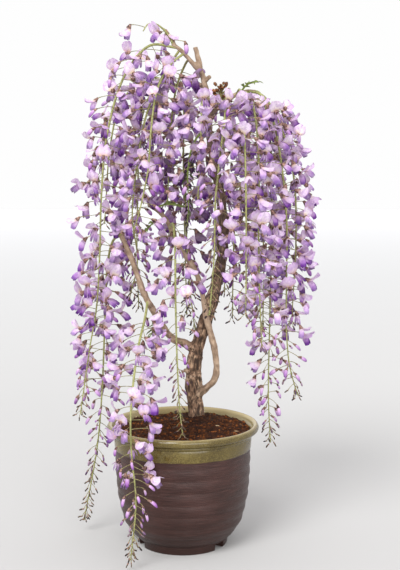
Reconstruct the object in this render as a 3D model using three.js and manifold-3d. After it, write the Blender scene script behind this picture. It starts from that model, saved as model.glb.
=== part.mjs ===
// A potted wisteria in flower: a small trained tree with a second stem twined round its
// trunk, long racemes of pea flowers that hang from its crown, and a stoneware pot of soil.
// Millimetres, +Z up. The pot stands on z = 0 with its axis near the origin.

import * as THREE from 'three';
import { mergeVertices } from 'three/addons/utils/BufferGeometryUtils.js';
import Module from 'manifold-3d';

const wasm = await Module();
wasm.setup();
const { Manifold } = wasm;

// ---------------------------------------------------------------- driving dimensions

const GAP = 0.3;                     // air between touching pieces
const TAU = 2 * Math.PI;
const GOLDEN_TURN = TAU * 0.381966;  // turn from one flower to the next round its stalk

const POT = {
  height: 163.5, rimRadius: 102, lipWidth: 8, lipRise: 5, lipStart: -0.62, lipEnd: 1.05,
  footRadius: 60, footWall: 11, recess: 9.5, drainRadius: 9,
  feet: 3, notchWidth: 18, notchHeight: 8.5, notchTurn: -0.2 * Math.PI,
  ringPitch: 17, ringDepth: 0.8, ringLowest: 48, ringHighest: 116, sides: 24,
};

const SOIL = { edgeHeight: 154, moundHeight: 170, moundRadius: 42, rings: 3 };

const BARK = { knobHeight: 0.09, knobPitch: 11 };

const FLOWER = { spacing: 34.5, bareStalk: 26, openShare: 0.75, size: 1.35, pedicel: 13, fewest: 6 };
const BUD = { spacing: 25, pedicel: 11, size: 1.3 };
const STALK = { rootRadius: 1.7, tipRadius: 0.8, sides: 4, detail: 2, archShare: 0.5 };

const COLOURS = {
  pot: 0x523c38, soil: 0x6b3722, wood: 0x8a7058, raceme: 0xc79ae2,
  winterBud: 0x5a2f26, shoot: 0x8fa050,
};

// Wood: each limb is a line of points with its radius at the root and at the tip.
const TRUNK = {
  points: [
    [18, 22, 118], [18, 20, 173], [15, 20, 205], [15, 20, 238], [19, 18, 262], [26, 15, 285],
    [36, 12, 318], [45, 12, 350], [52, 14, 385], [54, 18, 424], [52, 20, 452], [48, 20, 480],
    [42, 18, 510], [35, 15, 548], [31, 10, 602], [26, 7, 624], [21, 5, 643], [17, 4, 660],
  ],
  root: 13.5, tip: 3.4, sides: 8, detail: 1,
};

const LIMBS = {
  twining: {
    points: [
      [17, 20, 192], [29, 17, 205], [40, 12, 216], [45, 6, 230], [45, 1, 245], [42, -1, 264],
      [38, -3, 282], [33, -3, 300], [29, 2, 322], [25, 9, 342], [19, 16, 361], [9, 22, 379],
      [-2, 26, 394], [-13, 28, 414], [-22, 28, 434], [-33, 25, 447], [-46, 18, 456],
    ],
    root: 5, tip: 2.6, sides: 6, detail: 1,
  },
  left: {
    points: [
      [20, 19, 256], [1, 16, 269], [-12, 8, 275], [-28, 0, 296], [-40, -7, 318],
      [-50, -11, 338], [-60, -14, 366], [-70, -17, 394], [-80, -18, 417],
    ],
    root: 5, tip: 2.6, sides: 6, detail: 1,
  },
  crownLeft: {
    points: [[25, 6, 627], [16, 2, 636], [7, -1, 646], [-2, -3, 655], [-12, -5, 662]],
    root: 3.4, tip: 2.6, sides: 5, detail: 1,
  },
  crownRight: {
    points: [[33, 13, 572], [50, 12, 588], [65, 10, 597], [82, 6, 603], [96, 3, 603]],
    root: 4.2, tip: 2.5, sides: 6, detail: 1,
  },
  middleRight: {
    points: [[51, 20, 460], [70, 22, 478], [88, 22, 485], [104, 20, 489]],
    root: 3.8, tip: 2.3, sides: 5, detail: 2,
  },
  crownBack: {
    points: [[31, 11, 597], [26, 38, 612], [8, 68, 620], [-22, 84, 614]],
    root: 3.8, tip: 2.3, sides: 5, detail: 2,
  },
  crownBackRight: {
    points: [[35, 14, 570], [56, 38, 594], [76, 62, 602], [92, 80, 597]],
    root: 3.8, tip: 2.3, sides: 5, detail: 2,
  },
};

const STUB_RADIUS = 2.6;

// Stubs where side shoots were pruned off: place on the wood, and direction.
const STUBS = [
  [[15, 20, 226], [-14, -6, 6]], [[52, 14, 385], [12, -6, 8]], [[47, 20, 486], [-11, 4, 9]],
  [[-41, -7, 320], [-4, -9, 7]], [[28, 8, 616], [9, -3, 7]], [[41, 12, 336], [8, 8, 7]],
  [[-10, -5, 659], [-3, 1, 13]],
];

// Racemes: the line of each stalk, from just inside its branch to its hanging tip.
const RACEMES = {
  arch_left: [
    [-7, -4, 658], [-41, -12, 660], [-72, -20, 624], [-95, -26, 552], [-104, -28, 470],
    [-107, -25, 398], [-113, -20, 319], [-122, -15, 271], [-137, -10, 176],
  ],
  long_left: [
    [-80, -18, 417], [-92, 0, 408], [-101, 18, 375], [-106, 28, 300], [-112, 30, 190],
    [-119, 30, 120], [-138, 30, 18],
  ],
  over_rim: [
    [-46, -10, 330], [-48, -36, 312], [-56, -80, 272], [-63, -108, 200], [-62, -112, 150],
    [-57, -112, 90], [-64, -112, 14],
  ],
  centre_low: [
    [-18, 28, 425], [-12, -14, 430], [-9, -44, 400], [-8, -62, 335], [-6, -70, 260],
    [-3, -72, 200], [1, -72, 164],
  ],
  centre_left: [
    [2, -2, 651], [-16, -20, 634], [-31, -50, 600], [-38, -65, 550], [-42, -70, 500],
    [-54, -70, 445], [-61, -70, 424],
  ],
  inner_left: [
    [-3, -3, 656], [-22, 6, 628], [-46, -2, 575], [-60, -8, 500], [-66, -4, 440],
    [-60, 4, 380], [-70, 0, 334],
  ],
  crown_middle: [
    [9, 1, 644], [4, 20, 640], [-8, 34, 612], [-16, 38, 560], [-19, 38, 500], [-21, 38, 455],
  ],
  top_left: [
    [-11, -5, 661], [-17, -10, 672], [-25, -15, 681], [-34, -20, 686], [-43, -24, 685],
    [-49, -28, 676],
  ],
  centre_front: [
    [58, 11, 594], [57, -22, 594], [54, -52, 565], [47, -70, 510], [42, -74, 460],
    [41, -77, 400], [35, -78, 320],
  ],
  arch_right: [
    [86, 5, 603], [102, -13, 597], [117, -20, 564], [127, -22, 515], [135, -24, 440],
    [136, -20, 350], [137, -16, 290], [142, -14, 242], [153, -12, 203],
  ],
  front_right: [
    [82, 6, 603], [88, -26, 592], [94, -46, 560], [97, -58, 500], [97, -60, 420],
    [99, -60, 340], [102, -60, 274],
  ],
  low_right: [
    [88, 5, 603], [102, 24, 602], [114, 34, 570], [119, 38, 500], [120, 37, 400],
    [118, 35, 280], [117, 32, 190], [120, 28, 128],
  ],
  fore_right: [
    [71, 9, 600], [74, -28, 602], [77, -64, 566], [79, -88, 500], [80, -92, 420], [80, -92, 320],
  ],
  outer_right: [
    [95, 3, 603], [109, 6, 594], [125, 9, 566], [139, 11, 530], [148, 12, 485],
    [151, 12, 420], [146, 12, 295],
  ],
  shaded_middle: [
    [40, 17, 520], [22, 36, 530], [6, 48, 500], [4, 54, 430], [8, 56, 350], [17, 56, 274],
  ],
  trunk_front: [
    [31, 11, 594], [28, -16, 598], [25, -36, 573], [24, -46, 530], [20, -48, 462],
  ],
  back_left: [
    [-20, 83, 614], [-44, 90, 606], [-60, 93, 564], [-64, 93, 480], [-66, 93, 390], [-64, 92, 308],
  ],
  back_middle: [
    [8, 68, 620], [3, 96, 612], [0, 108, 566], [0, 112, 470], [2, 112, 380], [4, 110, 296],
  ],
  back_right: [
    [56, 38, 594], [58, 68, 600], [57, 90, 560], [56, 96, 470], [57, 95, 390], [58, 94, 328],
  ],
  corner_right: [
    [92, 80, 597], [103, 88, 584], [109, 92, 540], [111, 93, 450], [113, 91, 360], [112, 88, 276],
  ],
  corner_left: [
    [-8, 78, 617], [-50, 64, 626], [-84, 54, 590], [-99, 48, 530], [-104, 46, 470], [-107, 44, 428],
  ],
  middle_back: [
    [90, 22, 485], [80, 46, 482], [72, 58, 440], [69, 60, 370], [68, 60, 296],
  ],
};

// Young leaf shoots: the line of each stem from its branch outwards.
const SHOOTS = {
  left: [[-32, -2, 304], [-34, -18, 300], [-42, -34, 286]],
  inner: [[-24, 27, 437], [-40, 36, 430], [-58, 38, 410]],
  twining: [[-38, 22, 450], [-20, 10, 456], [0, 12, 452]],
  right: [[76, 7, 602], [84, -6, 611], [97, -15, 614]],
  shaded: [[33, 13, 552], [22, 4, 547], [12, -2, 528], [7, -6, 495], [8, -8, 455], [6, -9, 428]],
};
const LEAFLET = { length: 14, width: 6, thickness: 1.2, spacing: 20 };

const WINTER_BUDS = { at: [51, 11, 590], height: 17, count: 14, width: 4.6, spread: 13 };

// ---------------------------------------------------------------- helpers

function seeded(seed) {
  let state = seed;
  return () => {
    state = (state + 0x6d2b79f5) | 0;
    let mixed = Math.imul(state ^ (state >>> 15), 1 | state);
    mixed = (mixed + Math.imul(mixed ^ (mixed >>> 7), 61 | mixed)) ^ mixed;
    return ((mixed ^ (mixed >>> 14)) >>> 0) / 4294967296;
  };
}

function between(low, high, share) {
  return low + (high - low) * share;
}

function vector(point) {
  return new THREE.Vector3(...point);
}

// A closed geometry as a solid, turned right side out if its faces point inwards.
function toSolid(geometry) {
  geometry.deleteAttribute('normal');
  geometry.deleteAttribute('uv');
  const merged = mergeVertices(geometry, 1e-4);
  const vertProperties = new Float32Array(merged.attributes.position.array);
  const triVerts = new Uint32Array(merged.index.array);
  const solid = new Manifold(new wasm.Mesh({ numProp: 3, vertProperties, triVerts }));
  if (solid.volume() > 0) return solid;
  const reversed = triVerts.slice().reverse();
  return new Manifold(new wasm.Mesh({ numProp: 3, vertProperties, triVerts: reversed }));
}

function largestBody(solid) {
  const bodies = solid.decompose();
  return bodies.reduce((best, body) => (body.volume() > best.volume() ? body : best));
}

function toMesh(name, solid, colour, roughness) {
  const mesh = largestBody(solid).getMesh();
  const geometry = new THREE.BufferGeometry();
  geometry.setAttribute('position', new THREE.BufferAttribute(mesh.vertProperties, 3));
  geometry.setIndex(new THREE.BufferAttribute(mesh.triVerts, 1));
  const material = new THREE.MeshStandardMaterial({ color: colour, roughness, metalness: 0 });
  const piece = new THREE.Mesh(geometry, material);
  piece.name = name;
  return piece;
}

// The corner points of a smooth line, a set number to each stretch between given points.
function smoothSpots(points, detail) {
  const line = new THREE.CatmullRomCurve3(points.map(vector), false, 'centripetal');
  return line.getPoints((points.length - 1) * detail);
}

// Both ends of a line of spots moved outwards.
function lengthen(spots, extra) {
  const stretch = (end, inner) => end.addScaledVector(end.clone().sub(inner).normalize(), extra);
  stretch(spots[0], spots[1]);
  stretch(spots.at(-1), spots.at(-2));
}

function pathThrough(spots) {
  const path = new THREE.CurvePath();
  spots.slice(1).forEach((spot, i) => path.add(new THREE.LineCurve3(spots[i], spot)));
  return path;
}

// Axes across a line at each of its spots, carried along it without twist.
function axesAlong(spots) {
  const headings = spots.map((spot, i) => {
    const before = spots[Math.max(i - 1, 0)];
    const after = spots[Math.min(i + 1, spots.length - 1)];
    return after.clone().sub(before).normalize();
  });
  const level = Math.abs(headings[0].z) < 0.9;
  const across = level ? vector([0, 0, 1]) : vector([1, 0, 0]);
  across.cross(headings[0]).normalize();
  return headings.map((heading, i) => {
    const turn = new THREE.Quaternion().setFromUnitVectors(headings[Math.max(i - 1, 0)], heading);
    across.applyQuaternion(turn);
    return { across: across.clone(), upright: new THREE.Vector3().crossVectors(heading, across) };
  });
}

// A closed tube through the spots: a cylinder bent onto them, with its own radius at each
// share of the way and direction round it.
function tube(spots, radiusAt, sides) {
  const steps = spots.length - 1;
  const axes = axesAlong(spots);
  const ways = pathThrough(spots).getCurveLengths();
  const geometry = new THREE.CylinderGeometry(1, 1, 1, sides, steps);
  const position = geometry.attributes.position;
  for (let i = 0; i < position.count; i += 1) {
    const [x, y, z] = [position.getX(i), position.getY(i), position.getZ(i)];
    const step = Math.round((0.5 - y) * steps);
    const share = step === 0 ? 0 : ways[step - 1] / ways[steps - 1];
    const radius = radiusAt(share, Math.atan2(z, x));
    const spot = spots[step].clone().addScaledVector(axes[step].across, x * radius);
    spot.addScaledVector(axes[step].upright, z * radius);
    position.setXYZ(i, spot.x, spot.y, spot.z);
  }
  return toSolid(geometry);
}

// ---------------------------------------------------------------- pot and soil

// The body's outline from its foot to under its lip, as radius and height.
const BELLY = [[59.5, 0], [60.8, 10], [68, 15.5], [76.5, 27.7], [79.8, 34], [84, 50], [88, 70],
  [90, 95], [90.8, 122], [90.8, 131]];

// The glazed band over it, with the ridge and the two grooves under the lip.
const BAND = [[91.8, 132.5], [92.6, 146.3], [91.8, 147.6], [94.6, 149.2], [94.9, 151.2],
  [94, 152.4]];

// The inside of the wall from its lip down to the floor, which the soil fills.
const INNER_WALL = [[85.5, 149.5], [80, 72], [67, 30], [50, 15]];

function bellyRadius(height) {
  const above = BELLY.findIndex(([, z]) => z > height);
  const [[r0, z0], [r1, z1]] = [BELLY[above - 1], BELLY[above]];
  return between(r0, r1, (height - z0) / (z1 - z0));
}

function throwingRings() {
  const rings = [];
  for (let z = POT.ringLowest; z < POT.ringHighest; z += POT.ringPitch) {
    const crest = z + POT.ringPitch / 2;
    rings.push([bellyRadius(z) - POT.ringDepth, z], [bellyRadius(crest) + POT.ringDepth, crest]);
  }
  return rings;
}

// The rolled lip: a thick arc from the groove under it, over its top, to the inside.
function rolledLip() {
  const half = POT.lipWidth / 2;
  const steps = 4;
  return Array.from({ length: steps + 1 }, (_, i) => {
    const turn = between(POT.lipStart, POT.lipEnd, i / steps) * Math.PI;
    const radius = POT.rimRadius - half + Math.cos(turn) * half;
    return [radius, POT.height - POT.lipRise + Math.sin(turn) * POT.lipRise];
  });
}

function potProfile() {
  const floor = INNER_WALL.at(-1)[1];
  const footInside = POT.footRadius - POT.footWall;
  return [
    ...BELLY.filter(([, z]) => z < POT.ringLowest), ...throwingRings(), BELLY.at(-1), ...BAND,
    ...rolledLip(), ...INNER_WALL,
    [POT.drainRadius, floor], [POT.drainRadius, POT.recess], [footInside, POT.recess],
    [footInside, 0],
  ];
}

function lathe(profile, sides) {
  const outline = profile.map(([r, z]) => new THREE.Vector2(r, z));
  outline.push(outline[0].clone());
  const geometry = new THREE.LatheGeometry(outline, sides);
  geometry.rotateX(Math.PI / 2);
  return toSolid(geometry);
}

function buildPot() {
  let pot = lathe(potProfile(), POT.sides);
  for (let i = 0; i < POT.feet; i += 1) {
    const notch = new THREE.BoxGeometry(POT.footRadius, POT.notchWidth, 2 * POT.notchHeight);
    notch.translate(POT.footRadius, 0, 0);
    notch.rotateZ(TAU * (i / POT.feet) + POT.notchTurn);
    pot = pot.subtract(toSolid(notch));
  }
  return pot;
}

// The soil's surface: level at the pot's wall, mounded up to the trunk, softly uneven.
function soilHeight(x, y) {
  const [trunkX, trunkY] = TRUNK.points[1];
  const away = Math.hypot(x - trunkX, y - trunkY) / SOIL.moundRadius;
  const mound = (SOIL.moundHeight - SOIL.edgeHeight) * Math.exp(-away * away);
  return SOIL.edgeHeight + mound + 1.2 * Math.sin(x * 0.21) * Math.cos(y * 0.17);
}

function buildSoil(trunkHole) {
  const top = SOIL.edgeHeight;
  const side = INNER_WALL.map(([r, z]) => [r - GAP, z]).reverse();
  const bottom = side[0][1] + GAP;
  side[0][1] = bottom;
  const edge = side.at(-1)[0];
  const surface = Array.from({ length: SOIL.rings }, (_, i) => [edge * (1 - i / SOIL.rings), top]);
  const profile = [[0, bottom], ...side, ...surface, [0, top]];
  const geometry = new THREE.LatheGeometry(profile.map(([r, z]) => new THREE.Vector2(r, z)),
    POT.sides);
  geometry.rotateX(Math.PI / 2);
  const position = geometry.attributes.position;
  for (let i = 0; i < position.count; i += 1) {
    if (Math.abs(position.getZ(i) - top) < 1e-3) {
      position.setZ(i, soilHeight(position.getX(i), position.getY(i)));
    }
  }
  return toSolid(geometry).subtract(trunkHole);
}

// ---------------------------------------------------------------- wood

// Bark swells and sinks along the limb and a little round it.
function barkRadius(limb, length, grow) {
  return (share, angle) => {
    const plain = between(limb.root, limb.tip, share ** 0.8);
    const along = (share * length) / BARK.knobPitch;
    const knobs = Math.sin(along * 1.7) * 0.6 + Math.sin(along * 0.73 + angle) * 0.7;
    return plain * (1 + BARK.knobHeight * knobs) + grow;
  };
}

function buildLimb(limb, grow) {
  const spots = smoothSpots(limb.points, limb.detail);
  lengthen(spots, grow);
  const length = pathThrough(spots).getLength();
  return tube(spots, barkRadius(limb, length, grow), limb.sides);
}

function buildStub([root, reach], grow) {
  const start = vector(root);
  const spots = [start, start.clone().add(vector(reach))];
  lengthen(spots, grow);
  return tube(spots, () => STUB_RADIUS + grow, 5);
}

// The whole wood, or the same wood a little thicker for cutting its neighbours clear.
function buildWood(grow) {
  const limbs = [TRUNK, ...Object.values(LIMBS)].map((limb) => buildLimb(limb, grow));
  const stubs = STUBS.map((stub) => buildStub(stub, grow));
  return Manifold.union([...limbs, ...stubs]);
}

// ---------------------------------------------------------------- flowers

// Three axes of a flower that hangs off its stalk: forward out of the bloom, sideways, up.
function bloomAxes(outward, droop, roll) {
  const down = new THREE.Vector3(0, 0, -1);
  const forward = outward.clone().multiplyScalar(Math.cos(droop));
  forward.addScaledVector(down, Math.sin(droop)).normalize();
  const side = new THREE.Vector3().crossVectors(outward, down).normalize();
  side.applyAxisAngle(forward, roll);
  const up = new THREE.Vector3().crossVectors(side, forward).normalize();
  return { forward, side, up };
}

function ring(centre, axes, radius) {
  return [0, 1, 2].map((corner) => {
    const turn = TAU * (0.25 + corner / 3);
    const spot = centre.clone().addScaledVector(axes.side, radius * Math.cos(turn));
    return spot.addScaledVector(axes.up, radius * Math.sin(turn));
  });
}

function fromCorners(corners, faces) {
  const geometry = new THREE.BufferGeometry().setFromPoints(corners);
  geometry.setIndex(faces.flat());
  return toSolid(geometry);
}

function tubeFaces(lower, upper) {
  return [0, 1, 2].flatMap((corner) => {
    const next = (corner + 1) % 3;
    return [
      [lower + corner, lower + next, upper + corner],
      [lower + next, upper + next, upper + corner],
    ];
  });
}

// Standard petal: six corners round a reflexed blade, as forward, side and up.
const STANDARD = [[-1, -6, 14], [-1, 6, 14], [-4, 12.5, 6], [3, 4.5, -3], [3, -4.5, -3],
  [-4, -12.5, 6]];
const THROAT = [2.2, 0, 4.5];
const KEEL_TIP = [14, 0, -6];

// An open flower: pedicel, calyx, standard petal, and the keel with its wings in front.
function openFlower(root, calyx, axes, size) {
  const pedicel = calyx.clone().sub(root).normalize();
  const rootAxes = { side: axes.side, up: new THREE.Vector3().crossVectors(axes.side, pedicel) };
  const spot = ([forward, side, up]) => calyx.clone().addScaledVector(axes.forward, forward * size)
    .addScaledVector(axes.side, side * size).addScaledVector(axes.up, up * size);
  const corners = [
    ...ring(root, rootAxes, 0.8), ...ring(calyx, axes, 1.3), ...STANDARD.map(spot),
    spot(THROAT), spot(KEEL_TIP),
  ];
  const back = [
    [11, 6, 3], [6, 7, 3], [7, 8, 3], [8, 5, 3], [8, 9, 5], [9, 10, 5], [10, 4, 5], [10, 11, 4],
    [11, 3, 4],
  ];
  const front = [
    [7, 6, 12], [8, 7, 12], [9, 8, 12], [11, 10, 12], [6, 11, 12], [10, 9, 13], [9, 12, 13],
    [12, 10, 13],
  ];
  return fromCorners(corners, [[0, 2, 1], ...tubeFaces(0, 3), ...back, ...front]);
}

// A closed bud: pedicel, then a spindle that is widest past its middle.
function closedBud(root, calyx, axes, size) {
  const pedicel = calyx.clone().sub(root).normalize();
  const rootAxes = { side: axes.side, up: new THREE.Vector3().crossVectors(axes.side, pedicel) };
  const belly = calyx.clone().addScaledVector(axes.forward, 6 * size);
  const tip = calyx.clone().addScaledVector(axes.forward, 11 * size);
  const corners = [
    ...ring(root, rootAxes, 0.7), ...ring(calyx, axes, 0.9), ...ring(belly, axes, 3 * size), tip,
  ];
  const end = [[6, 7, 9], [7, 8, 9], [8, 6, 9]];
  return fromCorners(corners, [[0, 2, 1], ...tubeFaces(0, 3), ...tubeFaces(3, 6), ...end]);
}

// ---------------------------------------------------------------- racemes

const placed = [];

function boxesMeet(a, b, margin) {
  return [0, 1, 2].every((k) => a.min[k] - margin < b.max[k] && b.min[k] - margin < a.max[k]);
}

function isClear(solid, owner) {
  const box = solid.boundingBox();
  return placed.every((other) => other.owner === owner || !boxesMeet(box, other.box, GAP)
    || solid.minGap(other.solid, GAP * 2) > GAP * 1.2);
}

function place(solid, owner) {
  placed.push({ solid, owner, box: solid.boundingBox() });
}

function stalkRadius(share) {
  return between(STALK.rootRadius, STALK.tipRadius, share);
}

function buildStalk(points) {
  const fine = smoothSpots(points, STALK.detail);
  const spots = fine.filter((_, i) => i < fine.length * STALK.archShare || i % STALK.detail === 0);
  const path = pathThrough(spots);
  return { path, length: path.getLength(), solid: tube(spots, stalkRadius, STALK.sides) };
}

// The flowers of one raceme, spiralling down its stalk: open above, in bud below.
function buildRaceme(name, stalk, random) {
  const pieces = [stalk.solid];
  const crowding = Math.min(1, stalk.length / (FLOWER.fewest * FLOWER.spacing));
  let turn = random() * TAU;
  let way = Math.min(FLOWER.bareStalk, stalk.length * 0.15);
  while (way < stalk.length - 3) {
    const share = way / stalk.length;
    const open = share < FLOWER.openShare;
    const budShare = (share - FLOWER.openShare) / (1 - FLOWER.openShare);
    const ripeness = open ? 1 : between(1, 0.45, budShare);
    const flower = growFlower(name, stalk, share, turn, open, ripeness, random);
    if (flower) {
      place(flower, `flower_of_${name}`);
      pieces.push(flower);
    }
    turn += GOLDEN_TURN + (random() - 0.5) * 0.5;
    const spacing = open ? FLOWER.spacing : BUD.spacing * between(0.75, 1, ripeness);
    way += spacing * crowding * between(0.85, 1.15, random());
  }
  return Manifold.union(pieces);
}

// One flower, turned round its stalk until it stands clear of every other piece.
function growFlower(name, stalk, share, turn, open, ripeness, random) {
  const root = stalk.path.getPoint(share);
  const droop = between(0.25, 1.0, random());
  const roll = (random() - 0.5) * 0.7;
  const reach = (open ? FLOWER.pedicel : BUD.pedicel * ripeness) * between(0.8, 1.25, random());
  for (let attempt = 0; attempt < 9; attempt += 1) {
    const angle = turn + (attempt % 2 ? 1 : -1) * Math.ceil(attempt / 2) * 0.7;
    const outward = new THREE.Vector3(Math.cos(angle), Math.sin(angle), 0);
    const calyx = root.clone().addScaledVector(outward, reach);
    calyx.z -= reach * 0.25;
    const axes = bloomAxes(outward, open ? droop : droop + 0.2, roll);
    const flower = open
      ? openFlower(root, calyx, axes, FLOWER.size)
      : closedBud(root, calyx, axes, BUD.size * ripeness);
    if (isClear(flower, name)) return flower;
  }
  return null;
}

// ---------------------------------------------------------------- shoots and winter buds

function leaflet(root, forward, side, size) {
  const up = new THREE.Vector3().crossVectors(forward, side).normalize();
  const spot = (ahead, across, above) => root.clone().addScaledVector(forward, ahead)
    .addScaledVector(side, across).addScaledVector(up, above);
  const half = LEAFLET.width * size / 2;
  const long = LEAFLET.length * size;
  const thick = LEAFLET.thickness / 2;
  const corners = [spot(-0.5, 0, 0), spot(long * 0.4, half, 0), spot(long, 0, -long * 0.12),
    spot(long * 0.4, -half, 0), spot(long * 0.4, 0, thick), spot(long * 0.4, 0, -thick)];
  return fromCorners(corners, [[0, 1, 4], [1, 2, 4], [2, 3, 4], [3, 0, 4], [1, 0, 5], [2, 1, 5],
    [3, 2, 5], [0, 3, 5]]);
}

// A young shoot: a thin stem with folded leaflets in pairs and one at its tip.
function buildShoot(points) {
  const spots = smoothSpots(points, 2);
  const path = pathThrough(spots);
  const pieces = [tube(spots, (share) => between(1.3, 0.8, share), 4)];
  const pairs = Math.max(2, Math.round(path.getLength() / LEAFLET.spacing));
  for (let pair = 0; pair <= pairs; pair += 1) {
    const share = between(0.4, 0.97, pair / pairs);
    const root = path.getPoint(share);
    const ahead = path.getTangent(share);
    const side = new THREE.Vector3().crossVectors(ahead, new THREE.Vector3(0, 0, 1)).normalize();
    const spreads = pair === pairs ? [0] : [-0.7, 0.7];
    for (const spread of spreads) {
      const forward = ahead.clone().multiplyScalar(Math.cos(spread));
      forward.addScaledVector(side, Math.sin(spread)).addScaledVector(vector([0, 0, 1]), 0.25);
      forward.normalize();
      const across = new THREE.Vector3().crossVectors(forward, vector([0, 0, 1])).normalize();
      pieces.push(leaflet(root, forward, across, between(1, 0.75, pair / pairs)));
    }
  }
  return Manifold.union(pieces);
}

// A short spur crowded with scaly winter buds.
function buildWinterBuds(random) {
  const root = vector(WINTER_BUDS.at);
  const top = root.clone().add(vector([0, 0, WINTER_BUDS.height]));
  const pieces = [tube([root, top], () => 2, 4)];
  for (let i = 0; i < WINTER_BUDS.count; i += 1) {
    const turn = i * GOLDEN_TURN;
    const rise = between(-0.1, 1, i / WINTER_BUDS.count);
    const out = vector([Math.cos(turn), Math.sin(turn), rise * 1.6]).normalize();
    const start = root.clone().lerp(top, between(0.55, 0.9, rise));
    const tip = start.clone().addScaledVector(out, WINTER_BUDS.spread * between(0.8, 1.2, random()));
    const belly = start.clone().lerp(tip, 0.6);
    const swelling = (share) => (share > 0.3 && share < 0.9 ? 1 : 0.3) * WINTER_BUDS.width / 2;
    pieces.push(tube([start, belly, tip], swelling, 3));
  }
  return Manifold.union(pieces);
}

// ---------------------------------------------------------------- the whole plant

function buildPlant() {
  const wood = buildWood(0);
  const woodClearance = buildWood(GAP * 1.4);
  const pot = buildPot();
  const soil = buildSoil(woodClearance);
  const pieces = [
    toMesh('pot', pot, COLOURS.pot, 0.55),
    toMesh('soil', soil, COLOURS.soil, 0.95),
    toMesh('trunk_and_branches', wood, COLOURS.wood, 0.85),
  ];
  place(pot, 'pot');
  place(soil, 'soil');
  place(wood, 'wood');

  const random = seeded(20);
  const winterBuds = buildWinterBuds(random).subtract(woodClearance);
  place(winterBuds, 'winter_buds');
  pieces.push(toMesh('winter_buds', winterBuds, COLOURS.winterBud, 0.8));

  for (const [name, points] of Object.entries(SHOOTS)) {
    const shoot = largestBody(buildShoot(points).subtract(woodClearance));
    place(shoot, `shoot_${name}`);
    pieces.push(toMesh(`leaf_shoot_${name}`, shoot, COLOURS.shoot, 0.6));
  }

  const stalks = Object.entries(RACEMES).map(([name, points]) => {
    const stalk = buildStalk(points);
    stalk.solid = largestBody(stalk.solid.subtract(woodClearance));
    place(stalk.solid, name);
    return { name, stalk };
  });
  for (const { name, stalk } of stalks) {
    const raceme = buildRaceme(name, stalk, random);
    pieces.push(toMesh(`raceme_${name}`, raceme, COLOURS.raceme, 0.6));
  }
  return pieces;
}

// The plant's bounding box is centred over the origin.
function assemble(pieces) {
  const plant = new THREE.Group();
  plant.name = 'wisteria_in_a_pot';
  const planted = new THREE.Group();
  planted.add(...pieces);
  const centre = new THREE.Box3().setFromObject(planted).getCenter(new THREE.Vector3());
  planted.position.set(-centre.x, -centre.y, 0);
  plant.add(planted);
  return plant;
}

export default assemble(buildPlant());
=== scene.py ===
"""A potted wisteria in flower: long racemes on a twined trunk, in a glazed stoneware pot."""

import bisect
import math
import random
from functools import partial
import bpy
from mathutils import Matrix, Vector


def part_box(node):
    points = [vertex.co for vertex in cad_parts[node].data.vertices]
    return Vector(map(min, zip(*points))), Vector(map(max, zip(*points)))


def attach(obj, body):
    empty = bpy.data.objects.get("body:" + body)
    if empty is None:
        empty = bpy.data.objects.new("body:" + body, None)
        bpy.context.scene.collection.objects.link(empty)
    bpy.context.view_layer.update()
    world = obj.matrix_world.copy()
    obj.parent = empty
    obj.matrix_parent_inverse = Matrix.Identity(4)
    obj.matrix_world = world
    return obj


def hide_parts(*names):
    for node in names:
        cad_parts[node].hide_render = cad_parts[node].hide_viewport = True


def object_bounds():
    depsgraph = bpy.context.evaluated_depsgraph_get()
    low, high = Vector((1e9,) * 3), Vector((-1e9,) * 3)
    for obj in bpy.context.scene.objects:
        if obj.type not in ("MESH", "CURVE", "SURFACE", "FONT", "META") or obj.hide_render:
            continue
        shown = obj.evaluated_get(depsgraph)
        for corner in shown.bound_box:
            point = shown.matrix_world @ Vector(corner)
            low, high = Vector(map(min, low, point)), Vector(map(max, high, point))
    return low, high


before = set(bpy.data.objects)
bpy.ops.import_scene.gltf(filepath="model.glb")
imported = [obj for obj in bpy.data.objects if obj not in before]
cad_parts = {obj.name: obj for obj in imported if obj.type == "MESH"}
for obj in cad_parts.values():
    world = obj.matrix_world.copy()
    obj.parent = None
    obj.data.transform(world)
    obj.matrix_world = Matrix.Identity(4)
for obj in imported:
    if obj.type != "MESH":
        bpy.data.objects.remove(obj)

from types import SimpleNamespace

import bmesh
import bpy
from bpy.props import FloatProperty, IntProperty, PointerProperty, StringProperty
from mathutils import Matrix, Vector, bvhtree, kdtree, noise

bl_info = {
    "name": "Potted Wisteria",
    "version": (1, 0, 0),
    "blender": (4, 5, 0),
    "location": "3D View > Sidebar > Wisteria",
    "description": "Builds a wisteria in flower in a stoneware pot around its packed frame",
    "category": "Add Mesh",
}

MM = 0.001
TAU = 2 * math.pi
GOLDEN_TURN = TAU * 0.381966
CAD_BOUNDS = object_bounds()
POT_LOW, POT_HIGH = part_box("pot")
POT_AXIS = Vector(((POT_LOW.x + POT_HIGH.x) / 2, (POT_LOW.y + POT_HIGH.y) / 2, 0))

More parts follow.
